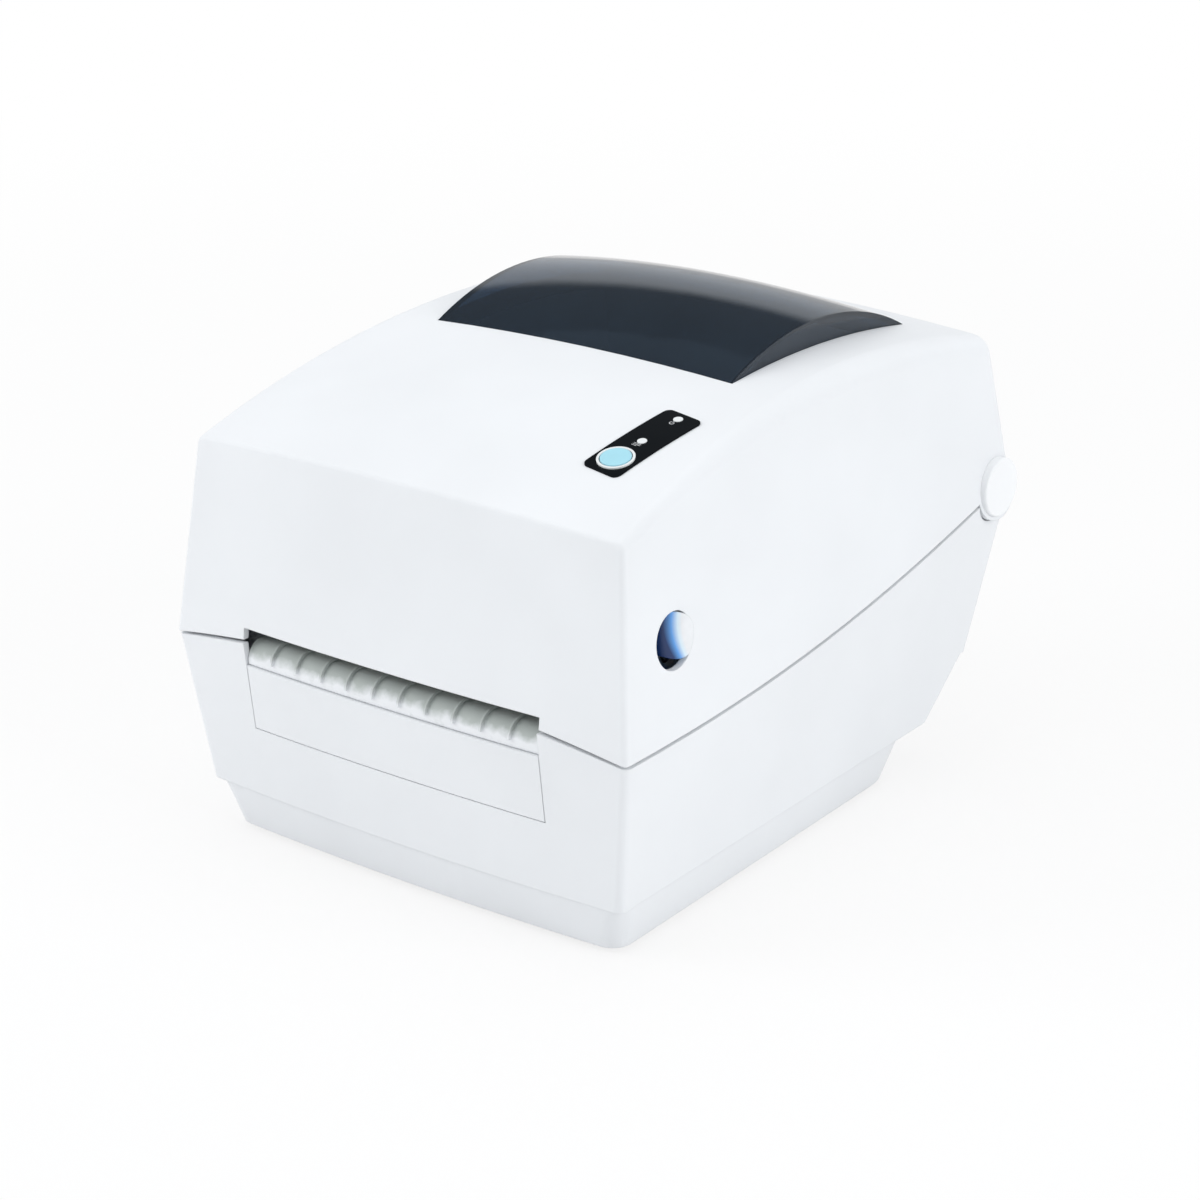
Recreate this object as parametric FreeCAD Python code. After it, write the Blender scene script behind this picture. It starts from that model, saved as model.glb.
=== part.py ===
import FreeCAD, Part
import math
import os
from FreeCAD import Rotation, Vector

# Desktop thermal transfer label printer: a lower case on a plinth tray, a tall lid hinged at the rear.
# X is to the right, Y to the back, Z up, in millimetres. The origin is under the middle of the case.
# Places called DEPTH are measured back from the foremost point of the case.

# Case outline
BODY_WIDTH = 204.0
BODY_DEPTH = 251.0
FRONT_BULGE = 3.7
BOAT_TAIL = 5.0
FOOT_HEIGHT = 2.0
TRAY_HEIGHT = 17.5
CASE_HEIGHT = 57.0
LID_HEIGHT = 103.7
WALL = 2.5
SEAM = 1.2
PARTING_SWEEP_RADIUS = 850.0
PARTING_ARCH = 8.9
WAIST_RISE = 2.5
CASE_FOOT_SETBACK = 7.0
CASE_FOOT_TAIL = 13.0
CASE_FRONT_SLOPE = 0.131
CASE_REAR_SLOPE = 0.16
CASE_FRONT_RADIUS = 3.0
CASE_REAR_RADIUS = 5.0
NOTCH_RISE = 23.0
NOTCH_STEP = 6.2
NOTCH_SLOPE = 0.85

# Lid form
LID_DRAFT = 0.094
LID_FRONT_SLOPE = 0.110
LID_REAR_SLOPE = 0.20
CROWN_SHARE = 0.6135
CROWN_DEPTH = CROWN_SHARE * BODY_DEPTH
CROWN_RADIUS = 405.0
CROSS_CROWN_RADIUS = 1100.0
SHOULDER_FRONT = 4.0
SHOULDER_REAR = 8.5
SHOULDER_BLEND_DEPTH = 0.55 * BODY_DEPTH
LID_FRONT_FILLET = 2.0
LID_REAR_FILLET = 6.0

# Plinth tray
TRAY_SETBACK = 13.0
TRAY_FRONT_DEPTH = 13.8
TRAY_REAR_MARGIN = 42.0
TRAY_REAR_DEPTH = BODY_DEPTH - TRAY_REAR_MARGIN
TRAY_TAIL = 11.0
TRAY_DRAFT = 5.0
TRAY_FRONT_RADIUS = 8.0
TRAY_REAR_RADIUS = 26.0
FOOT_RADIUS = 8.0
FOOT_INSET = 17.0

# Hinge
HINGE_RADIUS = 13.0
HINGE_RISE = 2.2
HINGE_PIN_RADIUS = 4.0
HINGE_BARREL_RADIUS = 10.0
HINGE_BOSS_RADIUS = 8.5
HINGE_BOSS_LENGTH = 11.6
HINGE_GAP = 0.5
CAP_RADIUS = 11.3
CAP_SEAT = 1.2
CAP_PROUD = 2.3
RUNNING_CLEARANCE = 0.05

# Window
WINDOW_SIDE = 35.5
WINDOW_HALF_WIDTH = BODY_WIDTH / 2 - WINDOW_SIDE
WINDOW_FRONT_DEPTH = 109.0
WINDOW_REAR_MARGIN = 34.5
WINDOW_REAR_DEPTH = BODY_DEPTH - WINDOW_REAR_MARGIN
WINDOW_RISE = 13.0
WINDOW_CROSS_RISE = 2.6
WINDOW_THICKNESS = 2.0
WINDOW_SEAM = 0.25
WINDOW_FLANGE = 4.0
WINDOW_SKIRT = 5.0

# Control strip
STRIP_SIDE = 35.9
STRIP_X = BODY_WIDTH / 2 - STRIP_SIDE
STRIP_LEAN = 0.115
STRIP_WIDTH = 16.0
STRIP_FRONT_DEPTH = 38.0
STRIP_REAR_DEPTH = 80.0
STRIP_CORNER_RADIUS = 2.5
STRIP_THICKNESS = 0.5
BUTTON_DEPTH = 46.4
BUTTON_RADIUS = 5.4
BUTTON_RING = 1.2
BUTTON_PROUD = 1.4
BUTTON_LENGTH = 6.0
BUTTON_TRAVEL = 0.8
BUTTON_CLEARANCE = 0.3
LED_RADIUS = 1.7
LED_DEPTHS = (58.8, 76.1)
LED_PROUD = 0.2
PANEL_BOARD_DROP = 9.0
PANEL_BOARD_WIDTH = 15.0
BOARD_THICKNESS = 1.6
PANEL_POST_RADIUS = 2.0
PANEL_POST_MARGINS = (8.2, 12.5)
KEY_RADIUS = 2.5
KEY_GAP = 0.7

# Paper exit and front bezel
SLOT_SIDE = 35.0
SLOT_HALF_WIDTH = BODY_WIDTH / 2 - SLOT_SIDE
SLOT_TOP_RISE = 10.0
BEZEL_SIDE_GAP = 0.7
BEZEL_HALF_WIDTH = SLOT_HALF_WIDTH - BEZEL_SIDE_GAP
BEZEL_DROP = 29.0
GUIDE_DROP = 3.7
GUIDE_RISE = 5.5
GUIDE_DEPTH = 16.0
GUIDE_ROUND = 7.0
FIN_COUNT = 10
FIN_PITCH = 12.0
FIN_THICKNESS = 0.9
FIN_PROUD = 0.9
BEZEL_SEAM = 0.3

# Platen and its drive
PLATEN_DEPTH = 27.0
PLATEN_DROP = 1.5
PLATEN_RADIUS = 8.0
PLATEN_SIDE = 11.0
PLATEN_HALF_LENGTH = SLOT_HALF_WIDTH - PLATEN_SIDE
SHAFT_RADIUS = 3.0
BEARING_RADIUS = 5.0
GEAR_MODULE = 0.8
GEAR_WIDTH = 5.0
GEAR_BACKLASH = 0.16
PRESSURE_ANGLE = math.radians(20.0)
PLATEN_TEETH = 24
IDLER_TEETH = 36
MOTOR_TEETH = 18
IDLER_ANGLE = math.radians(-45.0)
MOTOR_ANGLE = math.radians(-25.0)
AXLE_RADIUS = 2.5
MOTOR_SIZE = 35.0
MOTOR_LENGTH = 24.0
MOTOR_MARGIN = 1.0
CHASSIS_SIDE = 5.0
CHASSIS_X = SLOT_HALF_WIDTH - CHASSIS_SIDE
PLATE = 2.0
CHASSIS_FRONT_DEPTH = 18.0
CHASSIS_FLOOR_DROP = 29.0
SCREW_RADIUS = 1.5
SCREW_HEAD_RADIUS = 3.0
SCREW_HEAD = 2.0
SCREW_POST_RADIUS = 4.5
CASE_SCREW_SIDE = 26.0
CASE_SCREW_TAIL = 4.5
CASE_SCREW_FRONT = 36.0
CASE_SCREW_REAR = 37.0
CHASSIS_POST_STEPS = (6.0, 20.0)
SHAFT_END = 1.0

# Gap sensor
SENSOR_DEPTH = 51.0
SENSOR_RAIL_WIDTH = 11.0
SENSOR_RAIL_HEIGHT = 4.0
SENSOR_HALF_WIDTH = 6.0
SENSOR_SKIRT = 2.5
SENSOR_TOP = 5.5
SENSOR_PAPER_GAP = 4.0
SLIDE_CLEARANCE = 0.2

# Media bay and roll holders
BAY_SIDE = 4.0
BAY_HALF_WIDTH = SLOT_HALF_WIDTH - BAY_SIDE
BAY_FRONT_DEPTH = 100.0
BAY_REAR_MARGIN = 29.0
BAY_REAR_DEPTH = BODY_DEPTH - BAY_REAR_MARGIN
BAY_FLOOR_RISE = 10.5
BAY_WALL = 2.0
DECK_DROP = 4.5
DECK_THICKNESS = 2.0
DECK_FRONT_DEPTH = 63.0
DECK_REAR_MARGIN = 17.0
DECK_REAR_DEPTH = BODY_DEPTH - DECK_REAR_MARGIN
LEDGE_WIDTH = 4.0
LEDGE_HEIGHT = 3.0
FLOOR_HOLE_MARGIN = 3.0
RACK_MODULE = 1.0
RACK_TEETH = 18
RACK_HEIGHT = 4.6
RACK_BACK = 4.0
RACK_BACKLASH = 0.25
RACK_REACH = 9.0
CHANNEL_DEPTH = 6.0
ARM_THICKNESS = 3.0
ARM_HALF_DEPTH = 14.0
ARM_GAP = 0.8
HUB_RISE = 66.0
HUB_RADIUS = 12.0
HUB_LENGTH = 10.0
HUB_TAPER = 1.5
ARM_RIM = 2.0
PINION_POST_RADIUS = 3.0

# Ribbon frame and print head, in the lid
FRAME_SIDE = 6.0
FRAME_X = SLOT_HALF_WIDTH - FRAME_SIDE
FRAME_PLATE = 2.5
FRAME_TOP_DROP = 30.2
FRAME_TOP_RISE = LID_HEIGHT - FRAME_TOP_DROP
FRAME_REAR_DEPTH = 100.0
FRAME_FOOT_DROP = 2.0
FRAME_WAIST_RISE = 17.5
FRAME_TAB_OUT = 15.0
FRAME_TAB_HALF = 4.0
FRAME_BAR_HEIGHT = 12.0
FRAME_POST_RADIUS = 3.6
HEAD_GAP = 0.4
HEAD_SIDE = 2.0
HEAD_HALF_LENGTH = PLATEN_HALF_LENGTH - HEAD_SIDE
HEAD_WIDTH = 14.0
HEAD_HEIGHT = 4.0
SINK_SIDE = 4.0
SINK_HALF_LENGTH = FRAME_X - SINK_SIDE
SINK_WIDTH = 22.0
SINK_HEIGHT = 6.5
SINK_TAB = 7.0
SINK_TAB_SETBACK = 1.0
SINK_GROOVE = 2.0
HEAD_TRAVEL = 1.5
HEAD_SPRING_ROOM = 11.0
SPRING_SHEET = 0.6
SPRING_WIDTH = 9.0
SPRING_HALF_LENGTH = 16.0
SPRING_X = 30.0
SUPPLY_DEPTH = 80.0
SUPPLY_RISE = 36.5
TAKEUP_DEPTH = 50.0
TAKEUP_RISE = 55.5
SPINDLE_RADIUS = 4.0
SPINDLE_HUB_RADIUS = 12.5
SPINDLE_HUB_LENGTH = 9.0
SPINDLE_END = 1.5
HUB_SIDE_GAP = 1.0
HUB_FIN = 2.0
HUB_FIN_COUNT = 6
RIBBON_TEETH = 30
RIBBON_GEAR_ANGLE = math.radians(221.4)
TEAR_BAR_HEIGHT = 7.0
TEAR_BAR_SHEET = 1.0
TEAR_BAR_TEETH = 40
TEAR_BAR_SHY = 0.4
TEAR_TOOTH = 1.0

# Latch
LATCH_DEPTH = 34.5
LATCH_RISE = 34.7
LATCH_HOLE_RADIUS = 10.0
LATCH_TAB_GAP = 0.5
LATCH_TAB_SHIFT = 3.0
LATCH_TAB_LIFT = 2.2
LATCH_SHAFT_DEPTH = 46.0
LATCH_SHAFT_RISE = 23.5
LATCH_HUB_RADIUS = 6.0
LATCH_ARM_SIDE = 20.0
LATCH_ARM_X = BODY_WIDTH / 2 - LATCH_ARM_SIDE
LATCH_ARM = 4.0
LATCH_TAB_PROUD = 1.0
LATCH_TAB_ROUND = 11.0
HOOK_THICKNESS = 3.5
HOOK_SIDE_GAP = 1.5
HOOK_X = LATCH_ARM_X - HOOK_SIDE_GAP - HOOK_THICKNESS
HOOK_NOSE_GAP = 1.8
CATCH_DEPTH = 34.0
CATCH_DROP = 10.5
CATCH_RADIUS = 2.0
CATCH_BOSS_RADIUS = 5.0
HOOK_ROOM = 4.0
HOOK_NOSE = 2.5

# Rear ports
PORT_SIDE = 44.0
PORT_HALF_WIDTH = BODY_WIDTH / 2 - PORT_SIDE
PORT_BOTTOM_RISE = 9.0
PORT_HEIGHT = 19.0
PORT_BOARD_SETBACK = 25.0
PORT_BOARD_DEPTH = BODY_DEPTH - PORT_BOARD_SETBACK
USB_X = 20.0
USB_WIDTH = 12.0
USB_HEIGHT = 11.0
JACK_X = -6.0
JACK_WIDTH = 10.0
JACK_BORE_RADIUS = 3.2
JACK_PIN_RADIUS = 1.0
SWITCH_X = -38.0
SWITCH_WIDTH = 13.0
SWITCH_HEIGHT = 16.0
SWITCH_DEPTH = 5.0
SWITCH_GAP = 0.8
SWITCH_PIVOT_RADIUS = 1.2
SWITCH_TILT = 6.0
PORT_CLEARANCE = 0.3
PORT_POST_OUT = 5.0
PORT_BOARD_MARGIN = 9.0
SOCKET_SHEET = 0.8
JACK_FLOOR = 2.0
JACK_PIN_SHY = 1.5
SWITCH_EAR = 1.5
SWITCH_PROUD = 1.0
SWITCH_DISH = 1.2

# Main board
BOARD_SIDE = 46.0
BOARD_HALF_WIDTH = BODY_WIDTH / 2 - BOARD_SIDE
BOARD_FRONT_DEPTH = 100.0
BOARD_REAR_MARGIN = 65.0
BOARD_REAR_DEPTH = BODY_DEPTH - BOARD_REAR_MARGIN
BOARD_RISE = 5.0
BOARD_POST_RADIUS = 3.5
CHIP_HEIGHT = 2.2
CONNECTOR_HEIGHT = 6.0
CAPACITOR_RADIUS = 5.0
CAPACITOR_HEIGHT = 7.0

# Levels and places that follow from the sizes above
FRONT = -BODY_DEPTH / 2
REAR = BODY_DEPTH / 2
TRAY_TOP = FOOT_HEIGHT + TRAY_HEIGHT
PARTING_Z = TRAY_TOP + CASE_HEIGHT
WAIST_Z = PARTING_Z + WAIST_RISE
CROWN_Z = PARTING_Z + LID_HEIGHT
BULGE_RADIUS = ((BODY_WIDTH / 2) ** 2 + FRONT_BULGE ** 2) / (2 * FRONT_BULGE)
HINGE_Y = REAR - HINGE_RADIUS
NOTCH_Z = TRAY_TOP + NOTCH_RISE
SLOT_TOP_Z = PARTING_Z + SLOT_TOP_RISE
DECK_Z = PARTING_Z - DECK_DROP
TRAY_FLOOR_Z = FOOT_HEIGHT + WALL
CUT_SPAN = 2 * BODY_WIDTH
LOFT_MARGIN = 0.06 * BODY_DEPTH


def at_depth(depth):
    return FRONT + depth


def parting_height(depth):
    sweep = max(0.0, depth - FRONT_BULGE)
    return PARTING_Z + sweep ** 2 / (2 * PARTING_SWEEP_RADIUS)


def waist_half(depth):
    return BODY_WIDTH / 2 - BOAT_TAIL * (depth - FRONT_BULGE) / (BODY_DEPTH - FRONT_BULGE)


def arc_drop(radius, reach):
    return radius - math.sqrt(radius ** 2 - reach ** 2)


def crown_height(depth):
    return CROWN_Z - arc_drop(CROWN_RADIUS, depth - CROWN_DEPTH)


def lid_surface(x, depth):
    return crown_height(depth) - arc_drop(CROSS_CROWN_RADIUS, x)


def strip_x(depth):
    return STRIP_X + STRIP_LEAN * (depth - (STRIP_FRONT_DEPTH + STRIP_REAR_DEPTH) / 2)


HINGE_Z = parting_height(BODY_DEPTH - HINGE_RADIUS) + HINGE_RISE


# Small makers

def box(x0, x1, y0, y1, z0, z1):
    return Part.makeBox(x1 - x0, y1 - y0, z1 - z0, Vector(x0, y0, z0))


def rod(x0, x1, y, z, radius):
    return Part.makeCylinder(radius, x1 - x0, Vector(x0, y, z), Vector(1, 0, 0))


def post(x, y, z0, z1, radius):
    return Part.makeCylinder(radius, z1 - z0, Vector(x, y, z0))


def stud(x, y0, y1, z, radius):
    return Part.makeCylinder(radius, y1 - y0, Vector(x, y0, z), Vector(0, 1, 0))


def prism(points, x0, x1):
    corners = [Vector(x0, y, z) for y, z in points]
    face = Part.Face(Part.makePolygon(corners + corners[:1]))
    return face.extrude(Vector(x1 - x0, 0, 0))


def mirrored(shape):
    return shape.mirror(Vector(0, 0, 0), Vector(1, 0, 0))


def both_sides(shape):
    return Part.makeCompound([shape, mirrored(shape)])


def fuse(*shapes):
    return shapes[0].multiFuse(list(shapes[1:])).removeSplitter()


def cut(shape, *tools):
    for tool in tools:
        shape = shape.cut(tool)
    return shape


def end_face(shape, sign):
    return max(shape.Faces, key=lambda face: sign * face.CenterOfMass.y)


def upright_edges(shape, sign):
    low = shape.BoundBox.ZMin + WALL
    return [edge for edge in end_face(shape, sign).Edges if edge.CenterOfMass.z > low]


# Case forms: each takes an inset, so that walls and snug pieces follow the same outline

def bulged_wire(front_y, rear_y, z):
    reach = 0.65 * BODY_WIDTH
    side_y = front_y + arc_drop(BULGE_RADIUS, reach)
    left = Vector(-reach, side_y, z)
    right = Vector(reach, side_y, z)
    rear_right = Vector(reach, rear_y, z)
    rear_left = Vector(-reach, rear_y, z)
    return Part.Wire([
        Part.Arc(left, Vector(0, front_y, z), right).toShape(),
        Part.LineSegment(right, rear_right).toShape(),
        Part.LineSegment(rear_right, rear_left).toShape(),
        Part.LineSegment(rear_left, left).toShape(),
    ])


def mirrored_wire(half_points, arcs):
    # A closed outline symmetric about X = 0, from the lower right corner up and over
    edges = []
    for start, middle, end in arcs:
        curve = Part.Arc(start, middle, end) if middle else Part.LineSegment(start, end)
        edges.append(curve.toShape())
    first, last = half_points
    edges.append(Part.LineSegment(last, first).toShape())
    return Part.Wire(edges)


def flip(point):
    return Vector(-point.x, point.y, point.z)


def lid_section(depth, inset):
    y = at_depth(depth)
    lean = math.atan(LID_DRAFT)
    normal = Vector(math.cos(lean), 0, math.sin(lean))
    crown = crown_height(depth) - inset
    blend = min(1.0, max(0.0, depth / SHOULDER_BLEND_DEPTH))
    shoulder = SHOULDER_FRONT + (SHOULDER_REAR - SHOULDER_FRONT) * blend ** 2 * (3 - 2 * blend)
    radius = max(shoulder - inset, WALL / 3)

    def half(z):
        return waist_half(depth) - LID_DRAFT * (z - parting_height(depth)) - inset / normal.x

    low, high = crown - LID_HEIGHT / 2, crown
    for _ in range(50):
        z = (low + high) / 2
        x = half(z + radius * normal.z) - radius * normal.x
        inside = math.hypot(x, z - crown + CROSS_CROWN_RADIUS) < CROSS_CROWN_RADIUS - radius
        low, high = (z, high) if inside else (low, z)
    centre = Vector(x, y, z)
    outward = Vector(x, 0, z - crown + CROSS_CROWN_RADIUS).normalize()
    side_top = centre + normal * radius
    crown_end = centre + outward * radius
    bend = centre + (normal + outward).normalize() * radius
    bottom_z = PARTING_Z - 4 * SEAM
    bottom = Vector(half(bottom_z), y, bottom_z)
    arcs = [
        (bottom, None, side_top),
        (side_top, bend, crown_end),
        (crown_end, Vector(0, y, crown), flip(crown_end)),
        (flip(crown_end), flip(bend), flip(side_top)),
        (flip(side_top), None, flip(bottom)),
    ]
    return mirrored_wire((bottom, flip(bottom)), arcs)


def lid_solid(inset, rounded=False):
    margin = LOFT_MARGIN
    middle = [share * BODY_DEPTH for share in (0.12, 0.32, 0.55, 0.78)]
    depths = [-margin, *middle, BODY_DEPTH + margin]
    over = Part.makeLoft([lid_section(depth, inset) for depth in depths], True, False)
    wires = []
    for z in (PARTING_Z - CASE_HEIGHT, CROWN_Z + CASE_HEIGHT):
        front_y = FRONT + inset + LID_FRONT_SLOPE * (z - WAIST_Z)
        rear_y = REAR - inset - LID_REAR_SLOPE * (z - HINGE_Z)
        wires.append(bulged_wire(front_y, rear_y, z))
    solid = over.common(Part.makeLoft(wires, True, True)).Solids[0]
    if rounded:
        solid = solid.makeFillet(LID_FRONT_FILLET, upright_edges(solid, -1))
        solid = solid.makeFillet(LID_REAR_FILLET, upright_edges(solid, 1))
    return solid


def case_section(depth, inset, bottom_z):
    y = at_depth(depth)
    top_z = HINGE_Z + HINGE_RADIUS
    foot_half = waist_half(0) - CASE_FOOT_SETBACK - CASE_FOOT_TAIL * depth / BODY_DEPTH
    level = parting_height(depth)
    slope = (waist_half(depth) - foot_half) / (level - TRAY_TOP)

    def half(z):
        return foot_half + slope * (z - TRAY_TOP) - inset * math.hypot(1, slope)

    low = Vector(half(bottom_z), y, bottom_z)
    high = Vector(half(top_z), y, top_z)
    arcs = [(low, None, high), (high, None, flip(high)), (flip(high), None, flip(low))]
    return mirrored_wire((low, flip(low)), arcs)


def notch_block(inset):
    # The space under the stepped rear overhang
    lip_y = REAR - CASE_REAR_SLOPE * (HINGE_Z - NOTCH_Z) - NOTCH_STEP - inset
    foot_y = lip_y - NOTCH_SLOPE * (NOTCH_Z - TRAY_TOP)
    roof = NOTCH_Z + inset
    points = [(REAR + BODY_DEPTH, roof), (lip_y, roof), (foot_y, TRAY_TOP + inset)]
    points += [(foot_y, 0), (REAR + BODY_DEPTH, 0)]
    return prism(points, -CUT_SPAN / 2, CUT_SPAN / 2)


def case_solid(inset, rounded=False):
    margin = LOFT_MARGIN
    bottom_z = TRAY_TOP + inset
    depths = [-margin, BODY_DEPTH / 4, BODY_DEPTH / 2, BODY_DEPTH * 3 / 4, BODY_DEPTH + margin]
    block = Part.makeLoft([case_section(depth, inset, bottom_z) for depth in depths], True, False)
    wires = []
    for z in (FOOT_HEIGHT, HINGE_Z + 2 * HINGE_RADIUS):
        front_y = FRONT + inset + CASE_FRONT_SLOPE * (WAIST_Z - z)
        rear_y = REAR - inset - CASE_REAR_SLOPE * (HINGE_Z - z)
        wires.append(bulged_wire(front_y, rear_y, z))
    solid = block.common(Part.makeLoft(wires, True, True)).Solids[0]
    if rounded:
        for radius, sign in ((CASE_FRONT_RADIUS, -1), (CASE_REAR_RADIUS, 1)):
            edges = [edge for edge in end_face(solid, sign).Edges if edge.Length < CASE_HEIGHT * 2.5]
            edges = [edge for edge in edges if edge.BoundBox.ZLength > CASE_HEIGHT / 2]
            solid = solid.makeFillet(max(radius - inset, 1.0), edges)
    return cut(solid, notch_block(inset))


def under_parting(offset):
    # Everything below the parting surface, which sweeps up to the rear and arches across
    arch_radius = ((BODY_WIDTH / 2) ** 2 + PARTING_ARCH ** 2) / (2 * PARTING_ARCH)
    reach = 0.65 * BODY_WIDTH
    last = BODY_DEPTH - HINGE_RADIUS
    wires = []
    for depth in (-LOFT_MARGIN, FRONT_BULGE, last / 3, last * 2 / 3, last):
        y = at_depth(depth)
        top = parting_height(depth) + PARTING_ARCH + offset
        side = top - arc_drop(arch_radius, reach)
        corner = Vector(reach, y, side)
        foot = Vector(reach, y, -CASE_HEIGHT)
        arcs = [
            (foot, None, corner),
            (corner, Vector(0, y, top), flip(corner)),
            (flip(corner), None, flip(foot)),
        ]
        wires.append(mirrored_wire((foot, flip(foot)), arcs))
    return Part.makeLoft(wires, True, False)


def hinge_rod(radius):
    return rod(-CUT_SPAN / 2, CUT_SPAN / 2, HINGE_Y, HINGE_Z, radius)


def behind_hinge(top_z):
    return box(-CUT_SPAN / 2, CUT_SPAN / 2, HINGE_Y, REAR + BODY_DEPTH, -CASE_HEIGHT, top_z)


def tray_wire(inset, flare, z):
    half_front = BODY_WIDTH / 2 - TRAY_SETBACK + flare - inset
    half_rear = half_front - TRAY_TAIL
    front_y = at_depth(TRAY_FRONT_DEPTH) - flare + inset
    rear_y = at_depth(TRAY_REAR_DEPTH) + flare - inset
    side_y = front_y + arc_drop(BULGE_RADIUS, half_front)
    right = Vector(half_front, side_y, z)
    rear_right = Vector(half_rear, rear_y, z)
    return Part.Wire([
        Part.Arc(flip(right), Vector(0, front_y, z), right).toShape(),
        Part.LineSegment(right, rear_right).toShape(),
        Part.LineSegment(rear_right, flip(rear_right)).toShape(),
        Part.LineSegment(flip(rear_right), flip(right)).toShape(),
    ])


def tray_solid(inset, bottom_z, top_z):
    solid = Part.makeLoft([tray_wire(inset, 0, bottom_z), tray_wire(inset, TRAY_DRAFT, top_z)], True, True)
    for radius, sign in ((TRAY_FRONT_RADIUS, -1), (TRAY_REAR_RADIUS, 1)):
        edges = [edge for edge in end_face(solid, sign).Edges if edge.BoundBox.ZLength > WALL]
        solid = solid.makeFillet(radius - inset, edges)
    return solid


# Gears and racks

def involute(angle):
    return math.tan(angle) - angle


def gear(teeth, module, width, bore, backlash, phase):
    # A spur gear on the Z axis, tooth 0 centred on the phase angle
    pitch_radius = teeth * module / 2
    base_radius = pitch_radius * math.cos(PRESSURE_ANGLE)
    root_radius = pitch_radius - 1.25 * module
    tip_radius = pitch_radius + module
    half_tooth = (math.pi * module / 2 - backlash) / (2 * pitch_radius)
    steps = 6
    flank = [(root_radius, half_tooth + involute(PRESSURE_ANGLE))]
    start = max(base_radius, root_radius)
    for step in range(steps + 1):
        radius = start + (tip_radius - start) * step / steps
        turn = involute(PRESSURE_ANGLE) - involute(math.acos(min(1.0, base_radius / radius)))
        flank.append((radius, half_tooth + turn))
    if flank[1][0] - flank[0][0] < 0.01 * module:
        flank = flank[1:]
    points = []
    for tooth in range(teeth):
        centre = phase + 2 * math.pi * tooth / teeth
        for radius, turn in flank:
            points.append(Vector(radius * math.cos(centre - turn), radius * math.sin(centre - turn), 0))
        for radius, turn in reversed(flank):
            points.append(Vector(radius * math.cos(centre + turn), radius * math.sin(centre + turn), 0))
    blank = Part.Face(Part.makePolygon(points + points[:1])).extrude(Vector(0, 0, width))
    return blank.cut(Part.makeCylinder(bore, width))


def cross_gear(teeth, bore, phase, x0, depth_y, z):
    # A spur gear turned onto the X axis, with angles from +Y towards +Z
    wheel = gear(teeth, GEAR_MODULE, GEAR_WIDTH, bore, GEAR_BACKLASH, phase)
    wheel.Placement = FreeCAD.Placement(Vector(x0, depth_y, z), Rotation(Vector(1, 1, 1), 120))
    return wheel


def meshing_phase(teeth, phase, angle, mate_teeth):
    # The mate's phase when its centre lies at this angle from a wheel with this phase
    pitch = 2 * math.pi / teeth
    offset = (phase - angle + pitch / 2) % pitch - pitch / 2
    return angle + math.pi - offset * teeth / mate_teeth + math.pi / mate_teeth


def rack(x0, x1, pitch_y, side, z0, z1):
    # A straight rack along X whose teeth point along side, with a gap centred on X = 0
    pitch = math.pi * RACK_MODULE
    half = pitch / 4 - RACK_BACKLASH / 2
    slant = math.tan(PRESSURE_ANGLE) * RACK_MODULE
    root_y = pitch_y - side * 1.25 * RACK_MODULE
    tip_y = pitch_y + side * RACK_MODULE
    back_y = root_y - side * RACK_BACK
    bar = box(x0, x1, min(root_y, back_y), max(root_y, back_y), z0, z1)
    teeth = []
    for index in range(math.ceil(x0 / pitch), math.floor(x1 / pitch)):
        x = (index + 0.5) * pitch
        if x - pitch / 2 < x0 or x + pitch / 2 > x1:
            continue
        corners = [
            Vector(x - half - 1.25 * slant, root_y, z0),
            Vector(x - half + slant, tip_y, z0),
            Vector(x + half - slant, tip_y, z0),
            Vector(x + half + 1.25 * slant, root_y, z0),
        ]
        teeth.append(Part.Face(Part.makePolygon(corners + corners[:1])).extrude(Vector(0, 0, z1 - z0)))
    return fuse(bar, *teeth)


def screw(x, y, head_z, tip_z):
    # A pan-head screw: the head lies beyond head_z, away from the tip
    away = SCREW_HEAD if head_z > tip_z else -SCREW_HEAD
    head = post(x, y, min(head_z, head_z + away), max(head_z, head_z + away), SCREW_HEAD_RADIUS)
    shank = post(x, y, min(head_z, tip_z), max(head_z, tip_z), SCREW_RADIUS)
    return fuse(head, shank)


# Places shared by several pieces

PLATEN_Y = at_depth(PLATEN_DEPTH)
PLATEN_Z = PARTING_Z - PLATEN_DROP
PAPER_Z = PLATEN_Z + PLATEN_RADIUS
PLATEN_PITCH_RADIUS = PLATEN_TEETH * GEAR_MODULE / 2
IDLER_PITCH_RADIUS = IDLER_TEETH * GEAR_MODULE / 2
MOTOR_PITCH_RADIUS = MOTOR_TEETH * GEAR_MODULE / 2
IDLER_Y = PLATEN_Y + (PLATEN_PITCH_RADIUS + IDLER_PITCH_RADIUS) * math.cos(IDLER_ANGLE)
IDLER_Z = PLATEN_Z + (PLATEN_PITCH_RADIUS + IDLER_PITCH_RADIUS) * math.sin(IDLER_ANGLE)
MOTOR_Y = IDLER_Y + (IDLER_PITCH_RADIUS + MOTOR_PITCH_RADIUS) * math.cos(MOTOR_ANGLE)
MOTOR_Z = IDLER_Z + (IDLER_PITCH_RADIUS + MOTOR_PITCH_RADIUS) * math.sin(MOTOR_ANGLE)
PLATEN_PHASE = IDLER_ANGLE
IDLER_PHASE = meshing_phase(PLATEN_TEETH, PLATEN_PHASE, IDLER_ANGLE, IDLER_TEETH)
MOTOR_PHASE = meshing_phase(IDLER_TEETH, IDLER_PHASE, MOTOR_ANGLE, MOTOR_TEETH)
GEAR_GAP = 3.0
GEAR_X = -CHASSIS_X - PLATE - GEAR_GAP - GEAR_WIDTH
CHASSIS_FLOOR_Z = PARTING_Z - CHASSIS_FLOOR_DROP
CHASSIS_TOP_Z = PLATEN_Z + BEARING_RADIUS - RUNNING_CLEARANCE
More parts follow.
